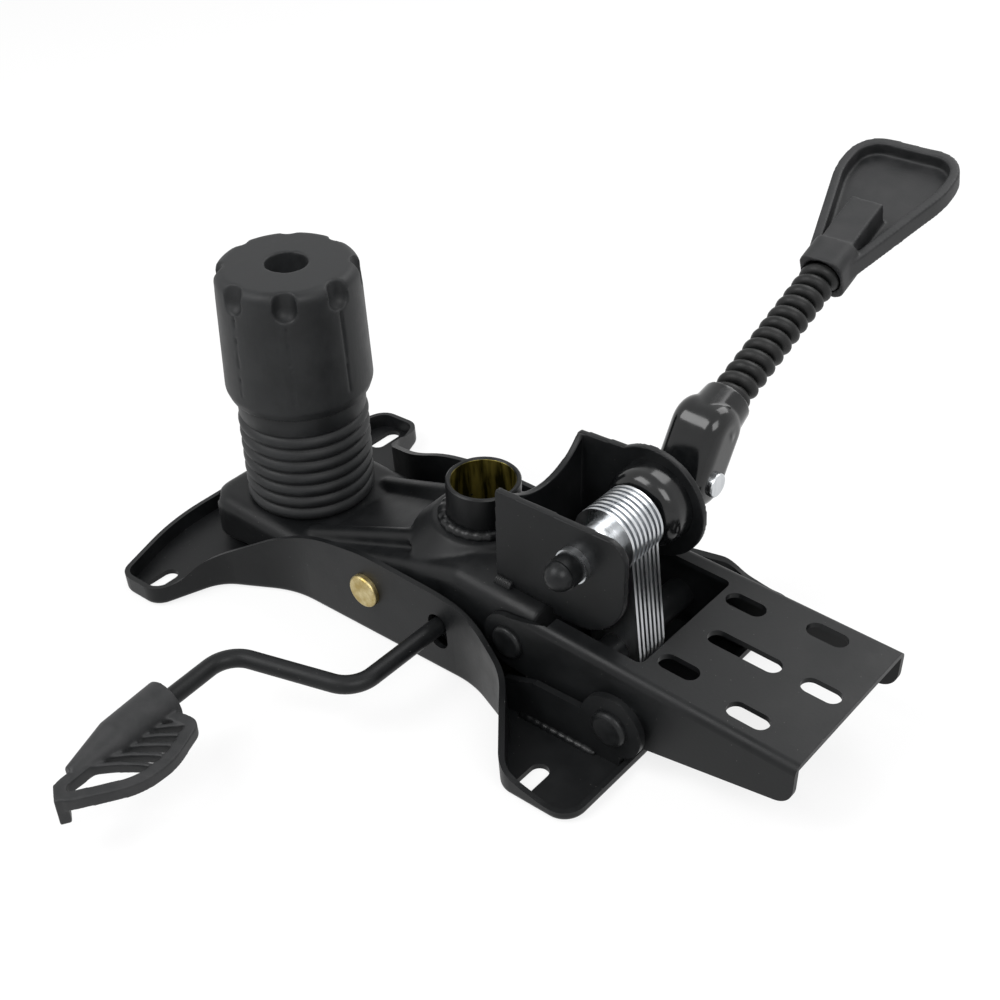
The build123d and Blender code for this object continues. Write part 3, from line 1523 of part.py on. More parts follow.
# Lock paddle: square neck over the coil's end, rimmed blade and square boss
with BuildPart() as lock_paddle:
    with BuildSketch(arm_plane.offset(-lock_paddle_rim_h / 2)) as blade:
        with BuildLine():
            Polyline(
                (-lock_paddle_neck_half, coil_l),
                (-lock_paddle_neck_half, lock_paddle_flare),
                (-lock_paddle_half, lock_paddle_wide),
                (-lock_paddle_end_half, lock_paddle_end),
                (lock_paddle_end_half, lock_paddle_end),
                (lock_paddle_half, lock_paddle_wide),
                (lock_paddle_neck_half, lock_paddle_flare),
                (lock_paddle_neck_half, coil_l),
                close=True,
            )
        make_face()
        fillet(blade.vertices().group_by(Axis.Y)[-1], radius=lock_paddle_corner_r)
        widest = blade.vertices().group_by(Axis.X)
        fillet(widest[0] + widest[-1], radius=lock_paddle_side_r)
    extrude(amount=lock_paddle_rim_h)
    with BuildSketch(arm_plane.offset(lock_paddle_t - lock_paddle_rim_h / 2)):
        add(blade.sketch_local)
        offset(amount=-lock_paddle_rim, mode=Mode.REPLACE)
    extrude(amount=lock_paddle_rim_h, mode=Mode.SUBTRACT)
    with BuildSketch(arm_plane.offset(-lock_paddle_rim_h / 2)):
        with Locations((0, (coil_l + lock_boss_end) / 2)):
            Rectangle(2 * lock_boss_half, lock_boss_end - coil_l)
    extrude(amount=lock_paddle_t + lock_boss_h)
    with BuildSketch(arm_level(coil_l)):
        RectangleRounded(
            2 * lock_paddle_neck_half, 2 * lock_paddle_neck_half, lock_paddle_neck_half / 2
        )
    extrude(amount=lock_paddle_neck_l)
    with BuildSketch(arm_level(coil_l)):
        Circle(cup_bore_r)
    extrude(amount=cup_depth, mode=Mode.SUBTRACT)
save(lock_paddle, "lock_paddle")

# Facts of the motion, for the joints
print("box axis x", box_frame.x_dir, "z", box_frame.z_dir)
print("channel ratio", channel_ratio, "range", channel_range)
print("strip pin", strip_pin_rest, "ratio", strip_ratio, "across", shaft_path_x)
print("strip travel", shaft_path_z, "link", link_path_x, link_path_z)
print("bolt sink", bolt_sink, "anchor", anchor_x)
print("lever pivot", box_point(rod_x, -box_half, rod_z))
print("cam pivot", box_point(shaft_x, cam_y, shaft_z))
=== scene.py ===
"""Looks of an office chair tilt mechanism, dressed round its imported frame.

The mechanism lies on its seat face, as it comes out of the box. Lengths are
metres, and values in millimetres have names that end in _mm.
"""

import logging
import math
from dataclasses import dataclass, field
from enum import Enum
from typing import Callable, Iterable, Sequence

import bpy
from mathutils import Matrix, Vector, noise


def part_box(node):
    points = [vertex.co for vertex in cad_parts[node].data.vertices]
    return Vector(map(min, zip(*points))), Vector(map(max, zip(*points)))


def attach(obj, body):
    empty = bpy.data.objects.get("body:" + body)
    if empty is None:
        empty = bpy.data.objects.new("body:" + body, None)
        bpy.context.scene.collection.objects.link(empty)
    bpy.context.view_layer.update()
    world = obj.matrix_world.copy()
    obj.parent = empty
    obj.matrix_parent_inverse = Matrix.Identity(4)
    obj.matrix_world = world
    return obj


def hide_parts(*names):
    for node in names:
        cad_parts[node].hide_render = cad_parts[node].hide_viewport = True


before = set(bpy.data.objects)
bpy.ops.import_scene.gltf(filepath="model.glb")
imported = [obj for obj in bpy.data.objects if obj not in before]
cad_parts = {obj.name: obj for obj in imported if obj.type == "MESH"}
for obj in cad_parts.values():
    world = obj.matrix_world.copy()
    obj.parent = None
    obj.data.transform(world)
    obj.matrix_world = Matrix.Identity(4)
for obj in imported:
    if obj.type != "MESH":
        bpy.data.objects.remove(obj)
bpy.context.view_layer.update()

LOG = logging.getLogger("tilt_mechanism")
MM = 0.001

# The tilt box leans back on the seat plate: its frame starts at the tube's mouth
LEAN = math.radians(4.0)
MOUTH = Vector((33.0, 0.0, 75.0)) * MM
BOX_X = Vector((math.cos(LEAN), 0.0, -math.sin(LEAN)))
BOX_Y = Vector((0.0, 1.0, 0.0))
BOX_Z = Vector((math.sin(LEAN), 0.0, math.cos(LEAN)))


class Body(Enum):
    """Bodies of the frame that the new pieces ride on."""

    SEAT = "seat"
    BOX = "box"
    KNOB = "knob"
    GAS_LEVER = "gas_lever"
    LOCK_LEVER = "lock_lever"


class Slot(Enum):
    """Material slots of the record, named for the new pieces."""

    BLACK_PAINT = "black_paint"
    BLACK_PLASTIC = "black_plastic"
    GLOSSY_PLASTIC = "glossy_plastic"


def in_box(x_mm: float, y_mm: float, z_mm: float) -> Vector:
    """Returns a point of the tilt box's frame in the frame of the part.

    Args:
        x_mm: Distance towards the back channel.
        y_mm: Distance towards the lock lever.
        z_mm: Distance away from the seat.
    """
    return MOUTH + (BOX_X * x_mm + BOX_Y * y_mm + BOX_Z * z_mm) * MM


def linear(colour: str) -> tuple[float, float, float, float]:
    """Returns an sRGB hex colour as linear red, green, blue and alpha."""
    parts = [int(colour[at:at + 2], 16) / 255 for at in (1, 3, 5)]
    lit = [c / 12.92 if c <= 0.04045 else ((c + 0.055) / 1.055) ** 2.4 for c in parts]
    return (lit[0], lit[1], lit[2], 1.0)


def add_node(
    material: bpy.types.Material | bpy.types.World,
    kind: str,
    settings: dict[str, object] | None = None,
    links: dict[str, bpy.types.NodeSocket] | None = None,
) -> bpy.types.Node:
    """Adds a shader node with its settings and links.

    Args:
        material: The material or world whose tree takes the node.
        kind: The node's type, such as ShaderNodeBump.
        settings: Values by the name of an attribute or an input.
        links: Sockets that feed the named inputs.

    Returns:
        The new node.
    """
    tree = material.node_tree
    made = tree.nodes.new(kind)
    for name, value in (settings or {}).items():
        if name in made.inputs:
            made.inputs[name].default_value = value
        else:
            setattr(made, name, value)
    for name, socket in (links or {}).items():
        target = made.inputs[int(name)] if name.isdigit() else made.inputs[name]
        tree.links.new(socket, target)
    return made


def empty_material(name: str) -> bpy.types.Material:
    """Returns a new material with no nodes."""
    material = bpy.data.materials.new(name)
    material.use_nodes = True
    material.node_tree.nodes.clear()
    return material


@dataclass(frozen=True)
class Finish:
    """A surface: two close colours, a roughness that varies and a fine relief.

    Attributes:
        name: Name of the material.
        dark: The colour in the low or clean places.
        pale: The colour in the rubbed or dusty places.
        roughness: Lowest and highest roughness.
        metallic: 1 for bare or plated metal.
        patch_mm: Size of the patches of colour and roughness.
        grain_mm: Size of the relief's grain.
        relief_mm: Height of the relief.
        stretch: Scale along X, Y and Z, for a brushed or drawn surface.
        coat: Weight of a clear glossy coat.
        mirror: Share of the surround that the surface mirrors, 0.5 for clean plastic.
        speck: Share of dust specks, 0 for none.
    """

    name: str
    dark: str
    pale: str
    roughness: tuple[float, float]
    metallic: float = 0.0
    patch_mm: float = 18.0
    grain_mm: float = 0.8
    relief_mm: float = 0.02
    stretch: tuple[float, float, float] = (1.0, 1.0, 1.0)
    coat: float = 0.0
    mirror: float = 0.5
    speck: float = 0.0

    def material(self) -> bpy.types.Material:
        """Returns the material, made once and then shared."""
        known = bpy.data.materials.get(self.name)
        return known or self._make()

    def _make(self) -> bpy.types.Material:
        """Builds the material's nodes."""
        made = empty_material(self.name)
        place = add_node(made, "ShaderNodeTexCoord")
        spread = add_node(
            made,
            "ShaderNodeMapping",
            {"Scale": self.stretch},
            {"Vector": place.outputs["Object"]},
        )
        patches = add_node(
            made,
            "ShaderNodeTexNoise",
            {"Scale": 1 / (self.patch_mm * MM), "Detail": 5.0, "Roughness": 0.6},
            {"Vector": spread.outputs["Vector"]},
        )
        grain = add_node(
            made,
            "ShaderNodeTexNoise",
            {"Scale": 1 / (self.grain_mm * MM), "Detail": 2.0},
            {"Vector": spread.outputs["Vector"]},
        )
        tint = add_node(made, "ShaderNodeValToRGB", {}, {"Fac": patches.outputs["Fac"]})
        tint.color_ramp.elements[0].position = 0.38
        tint.color_ramp.elements[0].color = linear(self.dark)
        tint.color_ramp.elements[1].position = 0.68
        tint.color_ramp.elements[1].color = linear(self.pale)
        colour = tint.outputs["Color"]
        if self.speck:
            colour = self._dust(made, place, colour)
        matte = add_node(
            made,
            "ShaderNodeMapRange",
            {
                "From Min": 0.3,
                "From Max": 0.7,
                "To Min": self.roughness[0],
                "To Max": self.roughness[1],
            },
            {"Value": patches.outputs["Fac"]},
        )
        bump = add_node(
            made,
            "ShaderNodeBump",
            {"Strength": 1.0, "Distance": self.relief_mm * MM},
            {"Height": grain.outputs["Fac"]},
        )
        surface = add_node(
            made,
            "ShaderNodeBsdfPrincipled",
            {
                "Metallic": self.metallic,
                "Specular IOR Level": self.mirror,
                "Coat Weight": self.coat,
                "Coat Roughness": 0.12,
            },
            {
                "Base Color": colour,
                "Roughness": matte.outputs["Result"],
                "Normal": bump.outputs["Normal"],
            },
        )
        add_node(
            made, "ShaderNodeOutputMaterial", {}, {"Surface": surface.outputs["BSDF"]}
        )
        return made

    def _dust(
        self,
        made: bpy.types.Material,
        place: bpy.types.Node,
        colour: bpy.types.NodeSocket,
    ) -> bpy.types.NodeSocket:
        """Returns the colour with small pale dust specks on it."""
        speck_mm = 3.5
        cells = add_node(
            made,
            "ShaderNodeTexVoronoi",
            {"Scale": 1 / (speck_mm * MM)},
            {"Vector": place.outputs["Object"]},
        )
        near = add_node(
            made,
            "ShaderNodeMapRange",
            {"From Min": self.speck, "From Max": self.speck * 0.4, "To Max": 0.5},
            {"Value": cells.outputs["Distance"]},
        )
        blend = add_node(
            made,
            "ShaderNodeMix",
            {"data_type": "RGBA"},
            {"Factor": near.outputs["Result"], "6": colour},
        )
        blend.inputs[7].default_value = linear("#8C8A86")
        return blend.outputs[2]


# Polyester powder coat, sprayed and baked: satin black with a faint orange peel
POWDER = Finish(
    "powder_coated_steel", "#0D0E0F", "#141516", (0.36, 0.5), grain_mm=1.4,
    relief_mm=0.025, mirror=0.2, speck=0.05,
)
# The same coat over a weld, glossier where it ran thick
WELD = Finish(
    "powder_coated_weld", "#0C0D0E", "#131415", (0.26, 0.42), patch_mm=6.0, grain_mm=2.2,
    relief_mm=0.12, mirror=0.25,
)
# Electroplated zinc with a clear chromate: bright, slightly blue, drawn along Z
BRIGHT_ZINC = Finish(
    "bright_zinc_plate", "#B9BCBF", "#DCDEE0", (0.24, 0.36), metallic=1.0, patch_mm=7.0,
    grain_mm=0.9, relief_mm=0.008, stretch=(1.0, 1.0, 0.12),
)
# Turned zinc, with the tool's rings across the shaft
TURNED_ZINC = Finish(
    "turned_zinc_plate", "#B4B6B8", "#E0E1E2", (0.2, 0.34), metallic=1.0, patch_mm=4.0,
    grain_mm=0.8, relief_mm=0.012, stretch=(0.2, 1.0, 0.2),
)
# Yellow chromate on zinc in the tube's bore, run down in darker streaks
YELLOW_ZINC = Finish(
    "yellow_chromate_zinc", "#33300F", "#A3964C", (0.3, 0.46), metallic=1.0, patch_mm=3.0,
    grain_mm=1.2, relief_mm=0.02, stretch=(1.0, 1.0, 0.2),
)
# The same chromate on the axle's forged head, paler and satin
PALE_CHROMATE = Finish(
    "pale_chromate_zinc", "#A08C55", "#C9BC92", (0.34, 0.5), metallic=1.0, patch_mm=5.0,
    grain_mm=1.0, relief_mm=0.02,
)
# Black oxide on forged rivets and the closed nut: dark, half matte
BLACK_OXIDE = Finish(
    "black_oxide_steel", "#121314", "#1D1E1F", (0.3, 0.45), metallic=0.3, patch_mm=5.0,
    grain_mm=0.9, relief_mm=0.02, mirror=0.25,
)
# Oiled spring wire, drawn: dark grey with a metal sheen
SPRING_WIRE = Finish(
    "oiled_spring_wire", "#3A3B3D", "#55575A", (0.3, 0.42), metallic=1.0, patch_mm=6.0,
    grain_mm=0.7, relief_mm=0.01,
)
# Injection moulded polypropylene with a spark eroded grain
MOULDED = Finish(
    "moulded_polypropylene", "#18191A", "#212223", (0.44, 0.58), patch_mm=14.0,
    grain_mm=0.45, relief_mm=0.03, mirror=0.25,
)
# Glass filled nylon of the paddle, a little greyer and drier
NYLON = Finish(
    "glass_filled_nylon", "#1B1C1D", "#29292A", (0.46, 0.62), patch_mm=9.0,
    grain_mm=0.6, relief_mm=0.04, mirror=0.3,
)
# Acetal off a polished mould: deep black, wet looking
ACETAL = Finish(
    "polished_acetal", "#090A0B", "#101112", (0.12, 0.24), patch_mm=8.0,
    grain_mm=2.0, relief_mm=0.01, coat=0.15, mirror=0.35,
)
# Thermoplastic rubber over the coil, soft and half matte
RUBBER = Finish(
    "moulded_rubber", "#0F1010", "#1A1A1A", (0.4, 0.55), patch_mm=7.0,
    grain_mm=0.8, relief_mm=0.03, mirror=0.25,
)


def painted_tube(bore_mm: float) -> bpy.types.Material:
    """Returns a coat for the gas tube: paint outside, bare chromate in the bore.

    Args:
        bore_mm: Radius below which the surface is the bore.
    """
    edge_mm, patch_mm, streak = 0.1, 3.5, 0.15
    made = empty_material("painted_tube_with_plated_bore")
    spot = add_node(made, "ShaderNodeTexCoord")
    away = add_node(
        made, "ShaderNodeVectorMath", {"operation": "SUBTRACT"}, {"0": spot.outputs["Object"]}
    )
    away.inputs[1].default_value = MOUTH
    across = add_node(
        made, "ShaderNodeVectorMath", {"operation": "CROSS_PRODUCT"}, {"0": away.outputs[0]}
    )
    across.inputs[1].default_value = BOX_Z
    radius = add_node(
        made, "ShaderNodeVectorMath", {"operation": "LENGTH"}, {"0": across.outputs[0]}
    )
    outside = add_node(
        made,
        "ShaderNodeMapRange",
        {"From Min": bore_mm * MM, "From Max": (bore_mm + edge_mm) * MM},
        {"Value": radius.outputs["Value"]},
    )
    streaks = add_node(
        made,
        "ShaderNodeMapping",
        {"Scale": (1.0, 1.0, streak)},
        {"Vector": spot.outputs["Object"]},
    )
    patches = add_node(
        made,
        "ShaderNodeTexNoise",
        {"Scale": 1 / (patch_mm * MM), "Detail": 5.0},
        {"Vector": streaks.outputs["Vector"]},
    )
    tint = add_node(made, "ShaderNodeValToRGB", {}, {"Fac": patches.outputs["Fac"]})
    tint.color_ramp.elements[0].position = 0.4
    tint.color_ramp.elements[0].color = linear(YELLOW_ZINC.dark)
    tint.color_ramp.elements[1].position = 0.66
    tint.color_ramp.elements[1].color = linear(YELLOW_ZINC.pale)
    bore = add_node(
        made,
        "ShaderNodeBsdfPrincipled",
        {"Metallic": 1.0, "Roughness": YELLOW_ZINC.roughness[1]},
        {"Base Color": tint.outputs["Color"]},
    )
    paint = add_node(
        made,
        "ShaderNodeBsdfPrincipled",
        {
            "Base Color": linear(POWDER.dark),
            "Roughness": POWDER.roughness[0],
            "Specular IOR Level": POWDER.mirror,
        },
    )
    mixed = add_node(
        made,
        "ShaderNodeMixShader",
        {},
        {
            "Fac": outside.outputs["Result"],
            "1": bore.outputs["BSDF"],
            "2": paint.outputs["BSDF"],
        },
    )
    add_node(made, "ShaderNodeOutputMaterial", {}, {"Surface": mixed.outputs["Shader"]})
    return made


def add_mesh(
    name: str,
    points: Iterable[Vector],
    faces: Iterable[Sequence[int]],
    smooth: bool = True,
) -> bpy.types.Object:
    """Adds a mesh object with its points in the frame of the part.

    Args:
        name: Name of the piece.
        points: The vertices.
        faces: Vertex numbers of each face.
        smooth: Whether the faces are shaded smooth.

    Returns:
        The new object.
    """
    mesh = bpy.data.meshes.new(name)
    mesh.from_pydata([tuple(point) for point in points], [], [tuple(f) for f in faces])
    mesh.validate()
    for polygon in mesh.polygons:
        polygon.use_smooth = smooth
    piece = bpy.data.objects.new(name, mesh)
    bpy.context.scene.collection.objects.link(piece)
    return piece


def ring_faces(rings: int, sides: int, closed: bool) -> list[tuple[int, ...]]:
    """Returns the faces of a skin over rings of points.

    Args:
        rings: Number of rings.
        sides: Points in each ring.
        closed: Whether the last ring joins the first. Open ends are capped.
    """
    faces: list[tuple[int, ...]] = []
    for ring in range(rings if closed else rings - 1):
        here = ring * sides
        there = (ring + 1) % rings * sides
        for side in range(sides):
            after = (side + 1) % sides
            faces.append((here + side, here + after, there + after, there + side))
    if not closed:
        last = (rings - 1) * sides
        faces.append(tuple(range(sides))[::-1])
        faces.append(tuple(range(last, last + sides)))
    return faces


def tube_along(
    name: str,
    path: Sequence[Vector],
    radius: Callable[[int], float],
    sides: int,
    closed: bool = False,
) -> bpy.types.Object:
    """Adds a round tube along a path.

    Args:
        name: Name of the piece.
        path: Points of the middle line.
        radius: Gives the tube's radius at each point's number.
        sides: Points round the tube.
        closed: Whether the path is a loop.
    """
    count = len(path)
    points: list[Vector] = []
    normal = Vector()
    for step, centre in enumerate(path):
        before = path[(step - 1) % count] if closed or step else centre
        after = path[(step + 1) % count] if closed or step < count - 1 else centre
        along = (after - before).normalized()
        if not step:
            normal = along.orthogonal()
        normal = (normal - along * normal.dot(along)).normalized()
        across = along.cross(normal)
        for side in range(sides):
            turn = 2 * math.pi * side / sides
            points.append(
                centre + (normal * math.cos(turn) + across * math.sin(turn)) * radius(step)
            )
    return add_mesh(name, points, ring_faces(count, sides, closed))


def turned(
    name: str,
    start: Vector,
    axis: Vector,
    profile_mm: Sequence[tuple[float, float]],
    sides: int,
) -> bpy.types.Object:
    """Adds a closed ring turned about an axis.

    Args:
        name: Name of the piece.
        start: Point on the axis where heights are zero.
        axis: Direction of the axis.
        profile_mm: Radius and height of each point, as a closed outline.
        sides: Points round the axis.
    """
    first = axis.orthogonal().normalized()
    second = axis.cross(first)
    points: list[Vector] = []
    for radius_mm, height_mm in profile_mm:
        for side in range(sides):
            turn = 2 * math.pi * side / sides
            out = first * math.cos(turn) + second * math.sin(turn)
            points.append(start + (out * radius_mm + axis * height_mm) * MM)
    return add_mesh(name, points, ring_faces(len(profile_mm), sides, True))


def softened(node: str, name: str, voxel_mm: float, rounds: int) -> bpy.types.Object:
    """Adds a copy of a solid with its edges rounded, as pressing or moulding leaves them.

    Args:
        node: The node whose shape is copied.
        name: Name of the new piece.
        voxel_mm: Size of the mesh after remeshing.
        rounds: How many times the mesh is smoothed.
    """
    piece = bpy.data.objects.new(name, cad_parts[node].data.copy())
    bpy.context.scene.collection.objects.link(piece)
    remesh = piece.modifiers.new("even_mesh", "REMESH")
    remesh.mode = "VOXEL"
    remesh.voxel_size = voxel_mm * MM
    smooth = piece.modifiers.new("round_edges", "SMOOTH")
    smooth.factor = 0.5
    smooth.iterations = rounds
    bpy.context.view_layer.update()
    ready = piece.evaluated_get(bpy.context.evaluated_depsgraph_get())
    mesh = bpy.data.meshes.new_from_object(ready)
    piece.modifiers.clear()
    piece.data = mesh
    mesh.materials.clear()
    for polygon in mesh.polygons:
        polygon.use_smooth = True
    return piece


def place(
    piece: bpy.types.Object, body: Body, slot: Slot, finish: Finish, *nodes: str
) -> None:
    """Gives a new piece its finish, its body and the nodes that it stands for."""
    piece.data.materials.append(finish.material())
    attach(piece, body.value)
    if nodes:
        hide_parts(*nodes)
    LOG.info("%s rides on %s, %d faces", piece.name, body.value, len(piece.data.polygons))


def dress(finish: Finish, *nodes: str) -> None:
    """Gives nodes of the frame their finish."""
    for node in nodes:
        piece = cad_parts[node]
        if not piece.material_slots:
            piece.data.materials.append(finish.material())
        for held in piece.material_slots:
            held.material = finish.material()
        LOG.info("%s is %s", node, finish.name)


@dataclass
class WeldBeads:
    """Weld beads, each a lumpy tube half sunk in the sheets that it joins."""

    lump_mm: float = 7.8
    lumpiness: float = 0.16
    ripple_steps: int = 5
    ripple_share: float = 0.5
    end_share: float = 0.45
    end_rise: float = 0.2
    sides: int = 14
    ear_radius_mm: float = 2.0
    ear_inset_mm: float = 2.2
    bracket_radius_mm: float = 2.9
    bracket_half_mm: float = 28.0
    bracket_foot_mm: float = -21.2
    bracket_span_mm: tuple[float, float] = (31.5, 40.5)

    def bead(
        self, name: str, path: Sequence[Vector], radius_mm: float, closed: bool
    ) -> bpy.types.Object:
        """Adds one bead along a path."""

        def radius(step: int) -> float:
            wave = math.sin(step * 2 * math.pi / self.ripple_steps)
            drift = noise.noise(path[step] / (self.lump_mm * MM))
            from_end = min(step, len(path) - 1 - step)
            ends = 1.0 if closed else min(1.0, self.end_share + self.end_rise * from_end)
            lumps = self.lumpiness * (self.ripple_share * wave + drift)
            return radius_mm * MM * ends * (1 + lumps)

        return tube_along(name, path, radius, self.sides, closed)

    def round_tube(self) -> None:
        """Adds the bead round the foot of the gas tube."""
        ring_r_mm, ring_z_mm, radius_mm, steps = 17.4, -18.6, 2.9, 120
        path = [
            in_box(
                ring_r_mm * math.cos(2 * math.pi * step / steps),
                ring_r_mm * math.sin(2 * math.pi * step / steps),
                ring_z_mm,
            )
            for step in range(steps)
        ]
        piece = self.bead("tube_weld_bead", path, radius_mm, True)
        place(piece, Body.BOX, Slot.BLACK_PAINT, WELD, "tube_weld")

    def straight(
        self,
        name: str,
        body: Body,
        node: str,
        radius_mm: float,
        ends: Sequence[tuple[Vector, Vector]],
    ) -> None:
        """Adds straight beads, one piece each, that stand for a node.

        Args:
            name: Start of the pieces' names.
            body: The body that carries them.
            node: The node that they stand for.
            radius_mm: Radius of the beads.
            ends: First and last point of each bead.
        """
        steps = 48
        for number, (first, last) in enumerate(ends):
            path = [first.lerp(last, step / (steps - 1)) for step in range(steps)]
            piece = self.bead(f"{name}_{number}", path, radius_mm, False)
            place(piece, body, Slot.BLACK_PAINT, WELD, node)

    def build(self) -> None:
        """Builds every bead."""
        self.round_tube()
        low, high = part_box("ear_welds")
        inset = Vector((0, self.ear_inset_mm * MM, 0))
        self.straight(
            "ear_weld_bead",
            Body.SEAT,
            "ear_welds",
            self.ear_radius_mm,
            [
                (
                    Vector((low.x, low.y, low.z)) + inset,
                    Vector((high.x, low.y, low.z)) + inset,
                ),
                (
                    Vector((low.x, high.y, low.z)) - inset,
                    Vector((high.x, high.y, low.z)) - inset,
                ),
            ],
        )
        front_mm, rear_mm = self.bracket_span_mm
        self.straight(
            "bracket_weld_bead",
            Body.BOX,
            "bracket_welds",
            self.bracket_radius_mm,
            [
                (
                    in_box(front_mm, side_mm, self.bracket_foot_mm),
                    in_box(rear_mm, side_mm, self.bracket_foot_mm),
                )
                for side_mm in (-self.bracket_half_mm, self.bracket_half_mm)
            ],
        )


@dataclass
class RibbedSleeve:
    """Blow moulded sleeve with round ribs under the knob."""

    axis_x_mm: float = -113.8
    foot_z_mm: float = -56.0
    top_z_mm: float = 8.0
    ribs: int = 7
    pitch_mm: float = 6.7
    rib_r_mm: float = 30.95
    valley_r_mm: float = 28.7
    collar_r_mm: float = 30.2
    bore_r_mm: float = 26.6
    rib_fullness: float = 0.7
    step_mm: float = 0.6
    step_from_mm: float = 0.5
    step_to_mm: float = 1.6
    edge_mm: float = 0.8
    steps: int = 12
    sides: int = 96

    def build(self) -> None:
        """Builds the sleeve from its turned outline."""
        profile: list[tuple[float, float]] = []
        total = self.ribs * self.steps
        for step in range(total + 1):
            swing = abs(math.sin(math.pi * step / self.steps)) ** self.rib_fullness
            radius = self.valley_r_mm + (self.rib_r_mm - self.valley_r_mm) * swing
            profile.append((radius, step * self.pitch_mm / self.steps))
        collar = self.ribs * self.pitch_mm
        height = self.top_z_mm - self.foot_z_mm
        profile += [
            (self.collar_r_mm - self.step_mm, collar + self.step_from_mm),
            (self.collar_r_mm, collar + self.step_to_mm),
            (self.collar_r_mm, height - self.edge_mm),
            (self.collar_r_mm - self.edge_mm, height),
            (self.bore_r_mm, height),
            (self.bore_r_mm, 0.0),
        ]
        piece = turned(
            "sleeve_skin", in_box(self.axis_x_mm, 0, self.foot_z_mm), BOX_Z, profile, self.sides
        )
        place(piece, Body.BOX, Slot.BLACK_PLASTIC, MOULDED, "ribbed_sleeve")


@dataclass
class TensionKnob:
    """Fluted knob with softened edges; its top stays bare."""

    voxel_mm: float = 0.7
    rounds: int = 4

    def build(self) -> None:
        """Builds the knob's skin."""
        piece = softened("knob", "knob_skin", self.voxel_mm, self.rounds)
        place(piece, Body.KNOB, Slot.BLACK_PLASTIC, MOULDED, "knob")


@dataclass
class FlexibleArm:
    """The lock lever's coil, moulded over with rubber, from socket to paddle."""

    start_mm: tuple[float, float, float] = (72.0, 71.0, 30.0)
    rise: float = math.radians(18.9)
    yaw: float = math.radians(2.0)
    coil_r_mm: float = 5.9
    wire_r_mm: float = 2.9
    pitch_mm: float = 6.95
    turns: int = 12
    lead_mm: float = 7.0
    stub_mm: float = 6.2
    steps: int = 40
    end_steps: int = 10
    end_bend: float = 1.5
    sides: int = 18
    socket_voxel_mm: float = 0.5
    paddle_voxel_mm: float = 0.6
    rounds: int = 9

    def axes(self) -> tuple[Vector, Vector, Vector]:
        """Returns the arm's side, down and forward directions."""
        flat = BOX_Y * math.cos(self.rise) + BOX_Z * math.sin(self.rise)
        side = BOX_X * math.cos(self.yaw) + flat * math.sin(self.yaw)
        along = flat * math.cos(self.yaw) - BOX_X * math.sin(self.yaw)
        return side, along.cross(side), along

    def path(self) -> list[Vector]:
        """Returns the middle line of the coil, with straight ends along the arm."""
        side, down, along = self.axes()
        start = in_box(*self.start_mm)
        lead = self.lead_mm / self.coil_r_mm
        total = 2 * math.pi * self.turns
        points: list[Vector] = []

        def spot(turn: float, height_mm: float) -> Vector:
            out = side * math.cos(turn) + down * math.sin(turn)
            return start + (out * self.coil_r_mm + along * height_mm) * MM

        for step in range(self.end_steps):
            share = step / self.end_steps
            points.append(spot(-lead, -self.lead_mm - self.stub_mm * (1 - share)))
        for step in range(self.end_steps):
            share = step / self.end_steps
            height = -self.lead_mm * (1 - share) ** self.end_bend
            points.append(spot(-lead * (1 - share ** 2), height))
        count = self.turns * self.steps
        for step in range(count + 1):
            share = step / count
            points.append(spot(total * share, self.turns * self.pitch_mm * share))
        top = self.turns * self.pitch_mm
        for step in range(1, self.end_steps + 1):
            share = step / self.end_steps
            height = top + self.lead_mm * share ** self.end_bend
            points.append(spot(total + lead * (1 - (1 - share) ** 2), height))
        for step in range(1, self.end_steps + 1):
            share = step / self.end_steps
            points.append(spot(total + lead, top + self.lead_mm + self.stub_mm * share))
        return points

    def build(self) -> None:
        """Builds the coil, its socket and the paddle."""
        coil = tube_along(
            "rubber_coil", self.path(), lambda step: self.wire_r_mm * MM, self.sides
        )
        place(coil, Body.LOCK_LEVER, Slot.BLACK_PLASTIC, RUBBER, "lever_coil")
        socket = softened("lever_socket", "socket_skin", self.socket_voxel_mm, self.rounds)
        place(socket, Body.LOCK_LEVER, Slot.GLOSSY_PLASTIC, ACETAL, "lever_socket")
        paddle = softened(
            "lock_paddle", "lock_paddle_skin", self.paddle_voxel_mm, self.rounds
        )
        place(paddle, Body.LOCK_LEVER, Slot.BLACK_PLASTIC, NYLON, "lock_paddle")


@dataclass
class GasLever:
    """The cranked rod's moulded grip."""

    voxel_mm: float = 0.45
    rounds: int = 12

    def build(self) -> None:
        """Builds the grip's skin and coats the rod."""
        piece = softened("gas_grip", "gas_grip_skin", self.voxel_mm, self.rounds)
        place(piece, Body.GAS_LEVER, Slot.BLACK_PLASTIC, NYLON, "gas_grip")
        dress(POWDER, "gas_rod", "valve_tongue")


@dataclass
class PressedSteel:
    """The pressed sheets: plate, box, bracket, channel and ears."""

    box_voxel_mm: float = 1.0
    box_rounds: int = 6
    bracket_voxel_mm: float = 0.5
    bracket_rounds: int = 3

    def build(self) -> None:
        """Builds the skins with pressed, rounded edges."""
        box = softened("tilt_box", "tilt_box_skin", self.box_voxel_mm, self.box_rounds)
        place(box, Body.BOX, Slot.BLACK_PAINT, POWDER, "tilt_box")
        bracket = softened(
            "lock_bracket", "lock_bracket_skin", self.bracket_voxel_mm, self.bracket_rounds
        )
        place(bracket, Body.BOX, Slot.BLACK_PAINT, POWDER, "lock_bracket")
        dress(POWDER, "seat_plate", "ear_near", "ear_far", "bolt_anchor", "back_channel")


